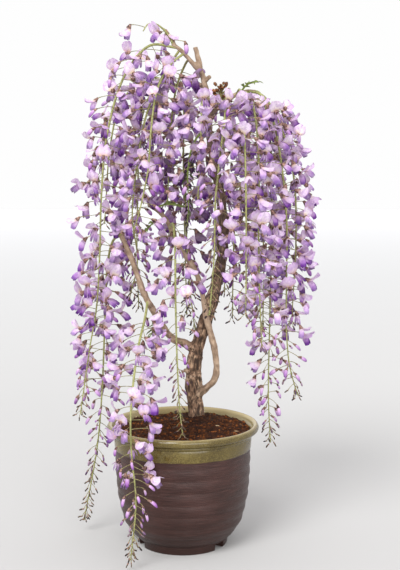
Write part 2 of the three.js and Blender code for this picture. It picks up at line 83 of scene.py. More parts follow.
# Wood: each limb as points in mm from the foot of the pot's axis, and its end radii in mm.
LIMBS = {
    "trunk": ((13.5, 3.4), [
        (18, 22, 118), (18, 20, 173), (15, 20, 205), (15, 20, 238), (19, 18, 262), (26, 15, 285),
        (36, 12, 318), (45, 12, 350), (52, 14, 385), (54, 18, 424), (52, 20, 452), (48, 20, 480),
        (42, 18, 510), (35, 15, 548), (31, 10, 602), (26, 7, 624), (21, 5, 643), (17, 4, 660)]),
    "twining": ((5.4, 3.1), [
        (17, 20, 192), (29, 17, 205), (40, 12, 216), (45, 6, 230), (45, 1, 245), (42, -1, 264),
        (38, -3, 282), (33, -3, 300), (29, 2, 322), (25, 9, 342), (19, 16, 361), (9, 22, 379),
        (-2, 26, 394), (-13, 28, 414), (-22, 28, 434), (-33, 25, 447), (-46, 18, 456)]),
    "left": ((6, 3.4), [
        (20, 19, 256), (1, 16, 269), (-12, 8, 275), (-28, 0, 296), (-40, -7, 318),
        (-50, -11, 338), (-60, -14, 366), (-70, -17, 394), (-80, -18, 417)]),
    "crown_left": ((3.4, 2.6), [
        (25, 6, 627), (16, 2, 636), (7, -1, 646), (-2, -3, 655), (-12, -5, 662)]),
    "crown_right": ((4.2, 2.5), [
        (33, 13, 572), (50, 12, 588), (65, 10, 597), (82, 6, 603), (96, 3, 603)]),
    "middle_right": ((3.8, 2.3), [(51, 20, 460), (70, 22, 478), (88, 22, 485), (104, 20, 489)]),
    "crown_back": ((3.8, 2.3), [(31, 11, 597), (26, 38, 612), (8, 68, 620), (-22, 84, 614)]),
    "crown_back_right": ((3.8, 2.3), [(35, 14, 570), (56, 38, 594), (76, 62, 602), (92, 80, 597)]),
}

# Stubs where side shoots were pruned off, as root and reach in mm, and the radius in mm at each
# share of a stub's reach.
STUBS = [
    ((15, 20, 226), (-14, -6, 6)), ((52, 14, 385), (12, -6, 8)), ((47, 20, 486), (-11, 4, 9)),
    ((-41, -7, 320), (-4, -9, 7)), ((28, 8, 616), (9, -3, 7)), ((41, 12, 336), (8, 8, 7)),
    ((-10, -5, 659), (-3, 1, 13)),
]
STUB_PROFILE = ((0, 3.4), (0.6, 2.9), (0.92, 3.0), (1, 2.4))

# Racemes: the shares of each stalk at which its open flowers end and its young buds start, how
# full it is, and its line in mm.
RACEMES = {
    "arch_left": ((0.8, 0.93), 1.0, [
        (-7, -4, 658), (-41, -12, 660), (-72, -20, 624), (-95, -26, 552), (-104, -28, 470),
        (-107, -25, 398), (-113, -20, 319), (-122, -15, 271), (-137, -10, 176)]),
    "long_left": ((0.5, 0.68), 0.95, [
        (-80, -18, 417), (-92, 0, 408), (-101, 18, 375), (-106, 28, 300), (-112, 30, 190),
        (-119, 30, 120), (-138, 30, 18)]),
    "over_rim": ((0.5, 0.8), 1.2, [
        (-46, -10, 330), (-48, -36, 312), (-56, -80, 272), (-63, -108, 200), (-62, -112, 150),
        (-57, -112, 90), (-64, -112, 14)]),
    "centre_low": ((0.42, 0.66), 0.85, [
        (-18, 28, 425), (-12, -14, 430), (-9, -44, 400), (-8, -62, 335), (-6, -70, 260),
        (-3, -72, 200), (1, -72, 164)]),
    "centre_left": ((0.85, 0.96), 1.0, [
        (2, -2, 651), (-16, -20, 634), (-31, -50, 600), (-38, -65, 550), (-42, -70, 500),
        (-54, -70, 445), (-61, -70, 424)]),
    "inner_left": ((0.66, 0.88), 0.95, [
        (-3, -3, 656), (-22, 6, 628), (-46, -2, 575), (-60, -8, 500), (-66, -4, 440),
        (-60, 4, 380), (-70, 0, 334)]),
    "crown_middle": ((0.7, 0.9), 1.0, [
        (9, 1, 644), (4, 20, 640), (-8, 34, 612), (-16, 38, 560), (-19, 38, 500), (-21, 38, 455)]),
    "top_left": ((0.93, 0.99), 0.85, [
        (-11, -5, 661), (-17, -10, 672), (-25, -15, 681), (-34, -20, 686), (-43, -24, 685),
        (-49, -28, 676)]),
    "centre_front": ((0.42, 0.62), 0.9, [
        (58, 11, 594), (57, -22, 594), (54, -52, 565), (47, -70, 510), (42, -74, 460),
        (41, -77, 400), (35, -78, 320)]),
    "arch_right": ((0.66, 0.91), 1.0, [
        (86, 5, 603), (102, -13, 597), (117, -20, 564), (127, -22, 515), (135, -24, 440),
        (136, -20, 350), (137, -16, 290), (142, -14, 242), (153, -12, 203)]),
    "front_right": ((0.74, 0.93), 1.0, [
        (82, 6, 603), (88, -26, 592), (94, -46, 560), (97, -58, 500), (97, -60, 420),
        (99, -60, 340), (102, -60, 274)]),
    "low_right": ((0.62, 0.9), 1.0, [
        (88, 5, 603), (102, 24, 602), (114, 34, 570), (119, 38, 500), (120, 37, 400),
        (118, 35, 280), (117, 32, 190), (120, 28, 128)]),
    "fore_right": ((0.72, 0.92), 0.95, [
        (71, 9, 600), (74, -28, 602), (77, -64, 566), (79, -88, 500), (80, -92, 420),
        (80, -92, 320)]),
    "outer_right": ((0.74, 0.93), 0.95, [
        (95, 3, 603), (109, 6, 594), (125, 9, 566), (139, 11, 530), (148, 12, 485),
        (151, 12, 420), (146, 12, 295)]),
    "shaded_middle": ((0.5, 0.66), 0.9, [
        (40, 17, 520), (22, 36, 530), (6, 48, 500), (4, 54, 430), (8, 56, 350), (17, 56, 274)]),
    "trunk_front": ((0.7, 0.92), 0.95, [
        (31, 11, 594), (28, -16, 598), (25, -36, 573), (24, -46, 530), (20, -48, 462)]),
    "back_left": ((0.62, 0.88), 0.95, [
        (-20, 83, 614), (-44, 90, 606), (-60, 93, 564), (-64, 93, 480), (-66, 93, 390),
        (-64, 92, 308)]),
    "back_middle": ((0.62, 0.88), 0.95, [
        (8, 68, 620), (3, 96, 612), (0, 108, 566), (0, 112, 470), (2, 112, 380), (4, 110, 296)]),
    "back_right": ((0.62, 0.88), 0.95, [
        (56, 38, 594), (58, 68, 600), (57, 90, 560), (56, 96, 470), (57, 95, 390), (58, 94, 328)]),
    "corner_right": ((0.62, 0.88), 0.95, [
        (92, 80, 597), (103, 88, 584), (109, 92, 540), (111, 93, 450), (113, 91, 360),
        (112, 88, 276)]),
    "corner_left": ((0.68, 0.9), 0.95, [
        (-8, 78, 617), (-50, 64, 626), (-84, 54, 590), (-99, 48, 530), (-104, 46, 470),
        (-107, 44, 428)]),
    "middle_back": ((0.5, 0.8), 0.85, [
        (90, 22, 485), (80, 46, 482), (72, 58, 440), (69, 60, 370), (68, 60, 296)]),
}

# The racemes whose flowers don't droop where the stalk arches.
UPRIGHT = ("top_left",)

# Young leaf shoots: the line of each stem in mm.
SHOOTS = {
    "left": [(-32, -2, 304), (-34, -18, 300), (-42, -34, 286)],
    "inner": [(-24, 27, 437), (-40, 36, 430), (-58, 38, 410)],
    "twining": [(-38, 22, 450), (-20, 10, 456), (0, 12, 452)],
    "right": [(76, 7, 602), (84, -6, 611), (97, -15, 614)],
    "shaded": [(33, 13, 552), (22, 4, 547), (12, -2, 528), (7, -6, 495), (8, -8, 455),
               (6, -9, 428)],
}

# The pot's section in mm as radius and height: its foot, its belly, the glazed band with the
# ridge and two grooves over it, the inside from the lip down, and the recess underneath.
POT_FOOT = [(59.3, 0), (60, 1.2), (60.8, 9.2), (61.3, 10.4), (62.2, 11.2)]
POT_BELLY = [(62.5, 11.5), (68, 15.5), (76.5, 27.7), (79.8, 34), (84, 50), (88, 70), (90, 95),
             (90.8, 122), (90.8, 130.5)]
POT_BAND = [(91.4, 131.5), (91.8, 132.6), (92.2, 140), (92.5, 145.8), (92.1, 147.0), (91.8, 147.7),
            (92.6, 148.3), (94.2, 148.9), (94.9, 150.1), (94.9, 151.2), (94.4, 152.1),
            (93.8, 152.7), (94.4, 153.2)]
POT_INSIDE = [(92.4, 156.4), (90.6, 154.2), (89.2, 152), (87.2, 149.6), (80, 72), (67, 30),
              (50, 15)]
POT_UNDER = [(9, 15), (9, 9.5), (49, 9.5), (49, 0)]

# The pot's form in mm: the height of a row of faces on its belly, where its finger rings show and
# fade, the roll of its lip from start to end in half turns, and the notches between its feet.
POT_LINE = 1.5
RINGS = SimpleNamespace(start=16, end=127, fade_in=10, fade_out=6, middle=0.6)
LIP = SimpleNamespace(radius=102, half_width=4, rise=5, top=163.5, start=-0.62, end=1.05, steps=16)
FEET = 3
NOTCH = (60, 18, 17)
NOTCH_TURN = -0.2 * math.pi

# The pot's finish in metres: the lowest finger ring, the heights at which painted shade starts and
# ends to darken the clay towards the foot, the edge of the glaze with half its blur and its
# waviness, and the radii and heights at which the glaze starts and ends to thin out over the lip,
# where its paler colour is also a painted highlight on the lip and painted light on the shaded
# inside.
RING_START = 0.0089
CLAY_PALE, CLAY_DARK = 0.11, 0.02
GLAZE_EDGE, GLAZE_BLUR, GLAZE_WAVE = 0.1315, 0.0006, 0.0022
THICK_RADIUS, THIN_RADIUS = 0.1015, 0.097
THICK_HEIGHT, THIN_HEIGHT = 0.152, 0.162

# Soil in mm: its height at the wall and at the trunk, the width of its mound, its radius and its
# slow swell, the height, width and layer of noise of each size of its lumps, its mesh's rings and
# sides with its gap from the pot, and the foot of the trunk.
SOIL_LOW, SOIL_HIGH, SOIL_MOUND, SOIL_RADIUS, SOIL_SWELL = 154, 170, 42, 90.1, 1.2
SOIL_LUMPS = [(2.4, 13, 3), (1.7, 5, 0), (1.0, 2.1, 7)]
SOIL_RINGS, SOIL_SIDES, SOIL_GAP = 54, 190, 0.3
TRUNK_FOOT = (18, 20, 171)

# Loose soil: how far it spreads in mm, the kinds of crumb, their shares of the usual size, how
# many are pale chips, the highest tone of a crumb and the tone of a chip, and in metres how far
# from the trunk the soil is wet and where it is dry.
LOOSE_RADIUS = SOIL_RADIUS - 1.5
CRUMB_KINDS = 6
CRUMB_SIZES = (0.25, 0.35, 0.45, 0.6, 0.8, 1.2)
SOIL_CHIPS = 18
CRUMB_TONE, CHIP_TONE = 0.84, 1.0
WET_RADIUS, DRY_RADIUS = 0.016, 0.038

# Wood: the steps in each stretch of a limb, how it tapers and swells, and in mm the pitch of its
# knobs and the radii at which bark looks old, looks young and has its full relief.
LIMB_DETAIL = 6
LIMB_TAPER, KNOB_SWELL = 0.8, 0.08
KNOB_PITCH = 11
OLD_RADIUS, YOUNG_RADIUS, FULL_RELIEF_RADIUS = 7.5, 4.5, 7

# Wood in metres: the knobs and furrows of the bark, how far round a place its thickest limb is
# looked for, and the heights from which painted shade under the crown starts to darken the bark and
# is deepest.
KNOB_WIDTH, KNOB_LENGTH = 0.007, 0.009
FURROW_WIDTH, FURROW_LENGTH = 0.0024, 0.011
LIMB_REACH = 0.011
SHADE_START_HEIGHT, SHADE_FULL_HEIGHT = 0.26, 0.4

# Flowers in mm. The turn at a banner's foot and its bend from there are in degrees, for a closed
# and an open flower. Its fold is in radians, and its notch, ruffle and widths of notch and crease
# are shares of its size. The reach is the outer points of an open flower, and a longer bud than
# the longest bare one has a calyx.
BANNER_FORM = SimpleNamespace(width=16.6, length=15, turn=(8, 84), bend=(34, 48), fold=1.55,
                              notch=0.14, notch_width=0.22, ruffle=0.09, wave=1.3, crease=3.2,
                              crease_width=0.4)
BANNER_VEINS = 11
WING_FORM = SimpleNamespace(length=14, width=7, bulge=1.7)
KEEL_FORM = SimpleNamespace(half_width=1.5, end_depth=1.4, swell=2.0)
CALYX_LENGTH, PETAL_ROOT = 5, 3.5
FLOWER_REACH = [(0, 0, 0), (7, 0, 0), (16, 0, -4), (5, 9, 8), (5, -9, 8), (4, 0, 18)]
LONGEST_BARE_BUD = 5

# Winter buds: the spur that bears them in mm, and in metres its height, the radii of the spur and
# of each bud's stalk, and how long those stalks are. Their kit is lengths and widths in mm.
BUD_SPUR = (51, 11, 590)
BUD_SPUR_HEIGHT = 0.017
SPUR_RADII, BUD_STALK_RADII = (0.0022, 0.0022, 0.0014), (0.0009, 0.0008)
BUD_STALK_LENGTHS = (0.003, 0.0135)
WINTER_BUD_KIT = ((6.4, 3.6), (5, 3))
BUD_COUNT, BUD_SCALES = 34, 8

SHOOT_RADII = (0.0016, 0.0006)
LEAFLET_PITCH = 0.0078
LEAFLET_VEINS = 7
LEAFLET_KIT = ((14, 5.2, 0.5), (13, 4.5, 0.9), (10, 4.2, 1.3))

# The map that gives the share across and along each petal.
PETAL_MAP = "petal"

# How far a flower of each form hangs below level, in radians.
NODS = {"open": (-0.3, 0.8), "half": (0.2, 1.2), "bud": (0.3, 1.2), "small": (0.3, 1.1),
        "tiny": (0.1, 1.1)}

# The steps in each stretch of a raceme's stalk and of a shoot, the stalk's radius at its tip as a
# share of that at its root, and the most of it that bears no flowers.
STALK_DETAIL, SHOOT_DETAIL = 7, 6
STALK_TAPER, BARE_SHARE = 0.42, 0.14

# In metres: the start of each stalk that bears no flowers, the radii along a flower's own stem,
# how far a flower stays from the floor and the walls, how far it may stand past the box of the
# plain solids along X, Y and Z, and the radius of the floor.
BARE_STALK = 0.034
PEDICEL_RADII = (0.00055, 0.00045, 0.0004, 0.00042, 0.0007)
FLOOR_GAP, WALL_GAP = 0.001, 0.0006
ROOM = (0.003, 0.004, 0.012)
FLOOR_RADIUS = 12.0

# The stage in mm: where the camera and the lights stand, and what the lights look at.
CAMERA_SPOT = (23, -1385, 501)
PLANT_MIDDLE = (0, 0, 360)
KEY_SPOT, FILL_SPOT = (-650, -1250, 1650), (500, -1500, 800)


class WisteriaPot(bpy.types.PropertyGroup):
    """Sizes of the pot's finish and of the soil in it"""

    sides: IntProperty(name="Sides", description="Faces round the pot", default=128, min=24)
    ring_depth: FloatProperty(
        name="Throwing rings", description="Height of the potter's finger rings",
        default=0.0011, unit="LENGTH")
    ring_pitch: FloatProperty(
        name="Ring pitch", description="From one finger ring to the next",
        default=0.0164, unit="LENGTH")
    crumbs: IntProperty(
        name="Soil crumbs", description="Loose granules on the soil", default=1900, min=0)
    crumb_size: FloatProperty(
        name="Crumb size", description="Usual width of a granule", default=0.0036, unit="LENGTH")


class WisteriaWood(bpy.types.PropertyGroup):
    """Sizes of the bark"""

    detail: FloatProperty(
        name="Bark detail", description="Smallest bark feature that the mesh holds",
        default=0.0012, unit="LENGTH")
    knob_height: FloatProperty(
        name="Knobs", description="Height of the swellings", default=0.0014, unit="LENGTH")
    furrow_depth: FloatProperty(
        name="Furrows", description="Depth of the furrows", default=0.0007, unit="LENGTH")


class WisteriaFlowers(bpy.types.PropertyGroup):
    """Sizes of the racemes"""

    seed: IntProperty(name="Seed", description="Draw for all flowers", default=7)
    spacing: FloatProperty(
        name="Flower spacing", description="From one flower to the next along the stalk",
        default=0.0053, unit="LENGTH")
    bloom: FloatProperty(
        name="Flower size", default=1.15, subtype="FACTOR",
        description=f"Scale of an open flower, 1 for a banner {BANNER_FORM.width} mm wide")
    pedicel: FloatProperty(
        name="Pedicel", description="Length of a flower's own stem",
        default=0.024, unit="LENGTH")
    stalk_radius: FloatProperty(
        name="Stalk", description="Radius of a raceme's stalk at its root",
        default=0.0017, unit="LENGTH")


class WisteriaStage(bpy.types.PropertyGroup):
    """The camera and lights"""

    lens: FloatProperty(name="Lens", description="Focal length in mm", default=66.3)
    pitch: FloatProperty(
        name="Pitch", description="Tilt of the camera below level",
        default=math.radians(6.25), subtype="ANGLE")
    key_strength: FloatProperty(
        name="Key light", description="Strength of the main light", default=2.4, min=0)
    fill_strength: FloatProperty(
        name="Fill light", description="Strength of the light in front", default=1.5, min=0)
    ceiling: StringProperty(
        name="Ceiling", description="Colour of the light from above as a hex code",
        default="#EEEEF2")


# ------------------------------------------------------------------ helpers


def place(point):
    """A point in mm from the foot of the pot's axis, in the frame."""
    return POT_AXIS + Vector(point) * MM


def between(low, high, share):
    return low + (high - low) * share


def clamp(value):
    return max(0.0, min(1.0, value))


def through(table, at):
    """The value at a place in a table of (value, place) pairs that rise by place."""
    for (low, start), (high, end) in zip(table, table[1:]):
        if at <= end:
            return between(low, high, clamp((at - start) / (end - start)))
    return table[-1][0]


def spline_point(points, knots, at):
    """The point of one stretch of a centripetal spline, by repeated mixing of its four points."""
    level = list(points)
    for spans in (((0, 1), (1, 2), (2, 3)), ((0, 2), (1, 3)), ((1, 2),)):
        level = [a.lerp(b, (at - knots[low]) / (knots[high] - knots[low]))
                 for a, b, (low, high) in zip(level, level[1:], spans)]
    return level[0]


def smooth_line(points, detail):
    """Points along the centripetal spline through the given points."""
    given = [place(point) for point in points]
    ends = [2 * given[0] - given[1], *given, 2 * given[-1] - given[-2]]
    spots = [given[0]]
    for stretch in zip(ends, ends[1:], ends[2:], ends[3:]):
        knots = [0.0]
        for start, end in zip(stretch, stretch[1:]):
            knots.append(knots[-1] + math.sqrt((end - start).length))
        for step in range(1, detail + 1):
            spots.append(spline_point(stretch, knots, between(knots[1], knots[2], step / detail)))
    return spots


class Stem:
    """A line of spots, with the way along it to each"""

    def __init__(self, points, detail):
        self.spots = smooth_line(points, detail)
        self.ways = [0.0]
        for start, end in zip(self.spots, self.spots[1:]):
            self.ways.append(self.ways[-1] + (end - start).length)
        self.length = self.ways[-1]

    def at(self, way):
        """The place and the heading of the line at a way along it."""
        i = min(max(bisect.bisect_left(self.ways, way), 1), len(self.spots) - 1)
        start, end = self.spots[i - 1], self.spots[i]
        share = (way - self.ways[i - 1]) / (self.ways[i] - self.ways[i - 1])
        return start.lerp(end, share), (end - start).normalized()


def put(name, data):
    """A new object in the scene."""
    thing = bpy.data.objects.new(name, data)
    bpy.context.scene.collection.objects.link(thing)
    return thing


def show(name, mesh, nodes, finishes):
    """Puts a mesh in the scene as a piece of the part, in place of its plain solids."""
    for finish in finishes:
        mesh.materials.append(finish)
    piece = put(name, mesh)
    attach(piece, "root")
    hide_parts(*nodes)


def mesh_from(shape, name):
    mesh = bpy.data.meshes.new(name)
    shape.to_mesh(mesh)
    shape.free()
    return mesh


def made_real(data, modifiers=()):
    """A curve or a mesh as a new mesh, with modifiers given as (type, settings) applied."""
    holder = put("form", data)
    for kind, settings in modifiers:
        modifier = holder.modifiers.new(kind, kind)
        for name, value in settings.items():
            setattr(modifier, name, value)
    graph = bpy.context.evaluated_depsgraph_get()
    mesh = bpy.data.meshes.new_from_object(holder.evaluated_get(graph))
    bpy.data.objects.remove(holder)
    return mesh


def stems(lines, resolution, finishes=()):
    """Closed round stems in one mesh. A line is (place, radius) pairs and its finish's index."""
    curve = bpy.data.curves.new("stems", "CURVE")
    curve.dimensions = "3D"
    curve.bevel_depth = 1
    curve.bevel_resolution = resolution
    curve.use_fill_caps = True
    for finish in finishes:
        curve.materials.append(finish)
    for spots, index in lines:
        spline = curve.splines.new("POLY")
        spline.points.add(len(spots) - 1)
        spline.material_index = index
        for point, (spot, radius) in zip(spline.points, spots):
            point.co = (*spot, 1)
            point.radius = radius
    mesh = made_real(curve)
    mesh.uv_layers.remove(mesh.uv_layers[0])
    return mesh


def joined(meshes, name):
    shape = bmesh.new()
    for mesh in meshes:
        shape.from_mesh(mesh)
        bpy.data.meshes.remove(mesh)
    return mesh_from(shape, name)


def mould(shape, made, index, form):
    """Moves new vertices by form, which gives each its place in mm and its place on the map."""
    layer = shape.loops.layers.uv.get(PETAL_MAP) or shape.loops.layers.uv.new(PETAL_MAP)
    spots = {}
    for vert in made["verts"]:
        spot, spots[vert] = form(vert.co)
        vert.co = Vector(spot) * MM
    for face in {face for vert in spots for face in vert.link_faces}:
        face.material_index = index
        face.smooth = True
        for loop in face.loops:
            loop[layer].uv = spots[loop.vert]


# ------------------------------------------------------------------ finishes


def colour(code):
    """An sRGB hex value as linear red, green, blue and alpha."""
    shares = [int(code[i:i + 2], 16) / 255 for i in (1, 3, 5)]
    return (*[s / 12.92 if s <= 0.04045 else ((s + 0.055) / 1.055) ** 2.4 for s in shares], 1)


def add(tree, kind, inputs=None, stops=None, **settings):
    """A new node with its settings, its inputs, and the stops of its ramp.

    An input is a plain value, a hex colour, a socket, or a node, which stands for its first
    output in use. Every Mix node mixes colours."""
    node = tree.nodes.new("ShaderNode" + kind)
    if kind == "Mix":
        node.data_type = "RGBA"
    for name, value in settings.items():
        setattr(node, name, value)
    for name, value in (inputs or {}).items():
        if isinstance(value, bpy.types.Node):
            value = next(socket for socket in value.outputs if socket.enabled)
        if isinstance(value, bpy.types.NodeSocket):
            tree.links.new(value, node.inputs[name])
        else:
            node.inputs[name].default_value = colour(value) if isinstance(value, str) else value
    if stops:
        elements = node.color_ramp.elements
        while len(elements) < len(stops):
            elements.new(1)
        for element, (position, code) in zip(elements, stops):
            element.position = position
            element.color = colour(code)
    return node


def spaced(width):
    """The scale of a pattern whose grains are width mm wide."""
    return 1 / (width * MM)


def blank_nodes(holder):
    """Clears the nodes of a material or a world, and returns the function that adds one."""
    holder.use_nodes = True
    holder.node_tree.nodes.clear()
    return partial(add, holder.node_tree)


def blank_finish(name):
    finish = bpy.data.materials.new(name)
    return finish, blank_nodes(finish)


def petal_parts(node):
    """The share across and along a petal, and the tone of its flower."""
    where = node("UVMap", uv_map=PETAL_MAP)
    split = node("SeparateXYZ", {"Vector": where.outputs["UV"]})
    tone = node("Attribute", attribute_name="tone")
    return split.outputs["X"], split.outputs["Y"], tone.outputs["Fac"]


def lit_petal(node, petal_colour, tone, roughness, see_through):
    """Ends a petal's nodes: a soft matt skin that lets a share of the light through.

    A tone above 1 darkens and dulls the petal with painted shade, for flowers and leaflets inside
    the crown."""
    # Painted shade: petals with a tone above 1 are mixed towards a dark dusky purple.
    shade_depth = node("MapRange", {"Value": tone, "From Min": 1.0, "From Max": 2.0})
    in_shade_colour = node("Mix", {"Factor": shade_depth, "A": petal_colour, "B": "#43293F"})
    where = node("TexCoord").outputs["Object"]
    crumple = node("TexNoise", {"Vector": where, "Scale": spaced(2.6316), "Detail": 2.0})
    bump = node("Bump", {"Strength": 0.6, "Distance": 0.0012, "Height": crumple})
    skin = node("BsdfPrincipled",
                {"Base Color": in_shade_colour, "Roughness": roughness, "Specular IOR Level": 0.3,
                 "Normal": bump})
    glow = node("BsdfTranslucent", {"Color": in_shade_colour})
    both = node("MixShader", {"Fac": see_through, 1: skin, 2: glow})
    node("OutputMaterial", {"Surface": both})


def mottled(node, petal_colour, deep, amount):
    """A petal's colour with cloudy patches of a deeper one, a few mm wide."""
    where = node("TexCoord").outputs["Object"]
    cloud = node("TexNoise", {"Vector": where, "Scale": spaced(4.7619), "Detail": 3.0})
    patch = node("MapRange", {"Value": cloud, "From Min": 0.44, "From Max": 0.64, "To Max": amount})
    return node("Mix", {"Factor": patch, "A": petal_colour, "B": deep})


def banner_petal():
    # Living banner petal, matt and thin: light comes through it, so it looks pale and luminous,
    # with a cream and yellow eye at its foot and faint veins that fan out from there.
    finish, node = blank_finish("banner_petal")
    across, along, tone = petal_parts(node)
    ground = node("ValToRGB", {"Fac": along},
                  stops=[(0.0, "#B08C4A"), (0.14, "#EACB6E"), (0.32, "#F6E8DC"), (0.6, "#F6E8F6"),
                         (1.0, "#E8CEEA")])
    deep = node("Mix", {"Factor": tone, "A": "#FFF7FD", "B": "#B280C2"})
    toned = node("Mix", {"Factor": 0.36, "A": ground, "B": deep})
    fan = node("Math", {0: across, 1: BANNER_VEINS * TAU}, operation="MULTIPLY")
    line = node("Math", {0: fan}, operation="COSINE")
    vein = node("MapRange", {"Value": line, "From Min": 0.55, "From Max": 1.0, "To Max": 0.4})
    off = node("Math", {0: across, 1: 0.5}, operation="SUBTRACT")
    side = node("Math", {0: off}, operation="ABSOLUTE")
    rim = node("MapRange", {"Value": side, "From Min": 0.26, "From Max": 0.5, "To Max": 0.5})
    drawn = node("Math", {0: vein, 1: rim}, operation="MAXIMUM")
    veined = node("Mix", {"Factor": drawn, "A": toned, "B": "#B886C8"})
    lit_petal(node, mottled(node, veined, "#BC92CE", 0.56), tone, 0.55, 0.3)
    return finish


def wing_petal():
    # Living wing and keel petals: the strongest violet of the flower, deepest at their tips.
    finish, node = blank_finish("wing_petal")
    _, along, tone = petal_parts(node)
    ground = node("ValToRGB", {"Fac": along},
                  stops=[(0.0, "#EBD2C4"), (0.28, "#EAD0E8"), (0.6, "#CC9CDC"), (0.82, "#682A94"),
                         (1.0, "#3E1058")])
    toned = node("Mix", {"Factor": tone, "A": "#F8E8F8", "B": "#743C92"})
    mixed = node("Mix", {"Factor": 0.36, "A": ground, "B": toned})
    lit_petal(node, mottled(node, mixed, "#7A3C9E", 0.45), tone, 0.45, 0.24)
    return finish


def bud_petal():
    # Closed bud: the folded banner, lilac with a darker tip. A very young bud is still greenish
    # grey, and silky with down.
    finish, node = blank_finish("bud_petal")
    _, along, tone = petal_parts(node)
    ripe = node("Attribute", attribute_name="ripe")
    opened = node("MapRange", {"Value": ripe.outputs["Fac"], "From Min": 0.28})
    ground = node("ValToRGB", {"Fac": along},
                  stops=[(0.0, "#C8A898"), (0.22, "#E8CBE4"), (0.6, "#C08ACC"), (0.85, "#82409C"),
                         (1.0, "#551C6C")])
    pale = node("Mix", {"Factor": tone, "A": "#F4DEF2", "B": "#8F56A0"})
    toned = node("Mix", {"Factor": 0.35, "A": ground, "B": pale})
    young = node("Mix", {"Factor": tone, "A": "#6A5C44", "B": "#2A1E24"})
    grown = node("Mix", {"Factor": opened, "A": young, "B": toned})
    lit_petal(node, grown, tone, 0.6, 0.12)
    return finish


def plant_skin(name, light, dark, roughness, grain):
    """A matt plant surface with a fine mottle of two colours, grain mm wide."""
    finish, node = blank_finish(name)
    where = node("TexCoord")
    mottle = node("TexNoise",
                  {"Vector": where.outputs["Object"], "Scale": spaced(grain), "Detail": 3.0})
    shades = node("ValToRGB", {"Fac": mottle}, stops=[(0.35, dark), (0.65, light)])
    skin = node("BsdfPrincipled",
                {"Base Color": shades, "Roughness": roughness, "Specular IOR Level": 0.35})
    node("OutputMaterial", {"Surface": skin})
    return finish


def raceme_finishes():
    """The finishes of a raceme, in the order of the indices that its faces use."""
    return [
        # Young green stem, waxy and slightly shiny.
        plant_skin("green_stalk", "#A6A66C", "#7F814A", 0.45, 2.5),
        # Flower stems, thin, downy and greyer.
        plant_skin("downy_pedicel", "#A39A6A", "#67603E", 0.7, 2.0),
        # Calyx, a downy cup of dusky rose and brown.
        plant_skin("downy_calyx", "#A88474", "#371F22", 0.75, 3.0),
        banner_petal(), wing_petal(), bud_petal(),
    ]


def stoneware():
    # Stoneware thrown on a wheel: raw brown clay below, matt with fine finger lines and darkened
    # towards the foot by painted shade, and an olive ash glaze on the band, lip and inside, glassy
    # and mottled, thinning to a pale edge that is also a painted highlight on the lip and painted
    # light on the shaded inside.
    finish, node = blank_finish("thrown_stoneware_olive_glaze")
    where = node("TexCoord").outputs["Object"]
    height = node("SeparateXYZ", {"Vector": where}).outputs["Z"]
    flat = node("Mapping",
                {"Vector": where, "Scale": (spaced(22.222), spaced(22.222), spaced(0.76923))})
    streaks = node("TexNoise", {"Vector": flat, "Scale": 1.0, "Detail": 4.0})
    cloud = node("TexNoise", {"Vector": where, "Scale": spaced(45.4545), "Detail": 4.0})
    grit = node("TexNoise", {"Vector": where, "Scale": spaced(1.1111), "Detail": 2.0})
    clay = node("ValToRGB", {"Fac": cloud},
                stops=[(0.3, "#2E1B18"), (0.52, "#3E2622"), (0.72, "#4E3532")])
    lined = node("ValToRGB", {"Fac": streaks},
                 stops=[(0.36, "#20100C"), (0.5, "#38201B"), (0.68, "#5A3D38")])
    body = node("Mix", {"Factor": 0.5, "A": clay, "B": lined})
    # Painted shade: the clay darkens towards the foot.
    foot = node("MapRange",
                {"Value": height, "From Min": CLAY_PALE, "From Max": CLAY_DARK, "To Max": 0.5})
    shaded_to_foot = node("Mix", {"Factor": foot, "A": body, "B": "#24120C"})
    speckled = node("ValToRGB", {"Fac": grit},
                    stops=[(0.34, "#352A10"), (0.5, "#5A4C20"), (0.66, "#8E8048")])
    pooled = node("ValToRGB", {"Fac": cloud},
                  stops=[(0.35, "#453816"), (0.55, "#605226"), (0.75, "#8A7D4A")])
    glaze = node("Mix", {"Factor": 0.4, "A": pooled, "B": speckled})
    wave = node("MapRange", {"Value": cloud, "To Min": -GLAZE_WAVE, "To Max": GLAZE_WAVE})
    waved = node("Math", {0: height, 1: wave}, operation="ADD")
    edge = node("MapRange",
                {"Value": waved, "From Min": GLAZE_EDGE - GLAZE_BLUR,
                 "From Max": GLAZE_EDGE + GLAZE_BLUR})
    # Partly thinner glaze and partly painted light: the glaze pales over the lip as a painted
    # highlight, and near the top of the inside as painted light on its shaded wall.
    across = node("VectorMath", {0: where, 1: tuple(POT_AXIS)}, operation="SUBTRACT")
    flattened = node("VectorMath", {0: across, 1: (1, 1, 0)}, operation="MULTIPLY")
    radius = node("VectorMath", {0: flattened}, operation="LENGTH")
    inside = node("MapRange", {"Value": radius, "From Min": THICK_RADIUS, "From Max": THIN_RADIUS})
    top = node("MapRange", {"Value": height, "From Min": THICK_HEIGHT, "From Max": THIN_HEIGHT})
    thin_glaze_and_highlight = node("Math", {0: inside, 1: top}, operation="MULTIPLY")
    pale_edge_and_highlight = node("Math", {0: thin_glaze_and_highlight, 1: 0.75}, operation="MULTIPLY")
    wear_and_painted_light = node("Mix", {"Factor": pale_edge_and_highlight, "A": glaze, "B": "#C9B888"})
    coloured = node("Mix", {"Factor": edge, "A": shaded_to_foot, "B": wear_and_painted_light})
    gloss = node("MapRange", {"Value": edge, "To Min": 0.36, "To Max": 0.14})
    shine = node("MapRange", {"Value": edge, "To Min": 0.32, "To Max": 0.5})
    relief = node("Math", {0: streaks, 1: grit}, operation="ADD")
    raw = node("MapRange", {"Value": edge, "To Min": 0.6, "To Max": 0.03})
    bump = node("Bump", {"Strength": raw, "Distance": 0.0008, "Height": relief})
    skin = node("BsdfPrincipled",
                {"Base Color": coloured, "Roughness": gloss, "Normal": bump,
                 "Specular IOR Level": shine})
    node("OutputMaterial", {"Surface": skin})
    return finish


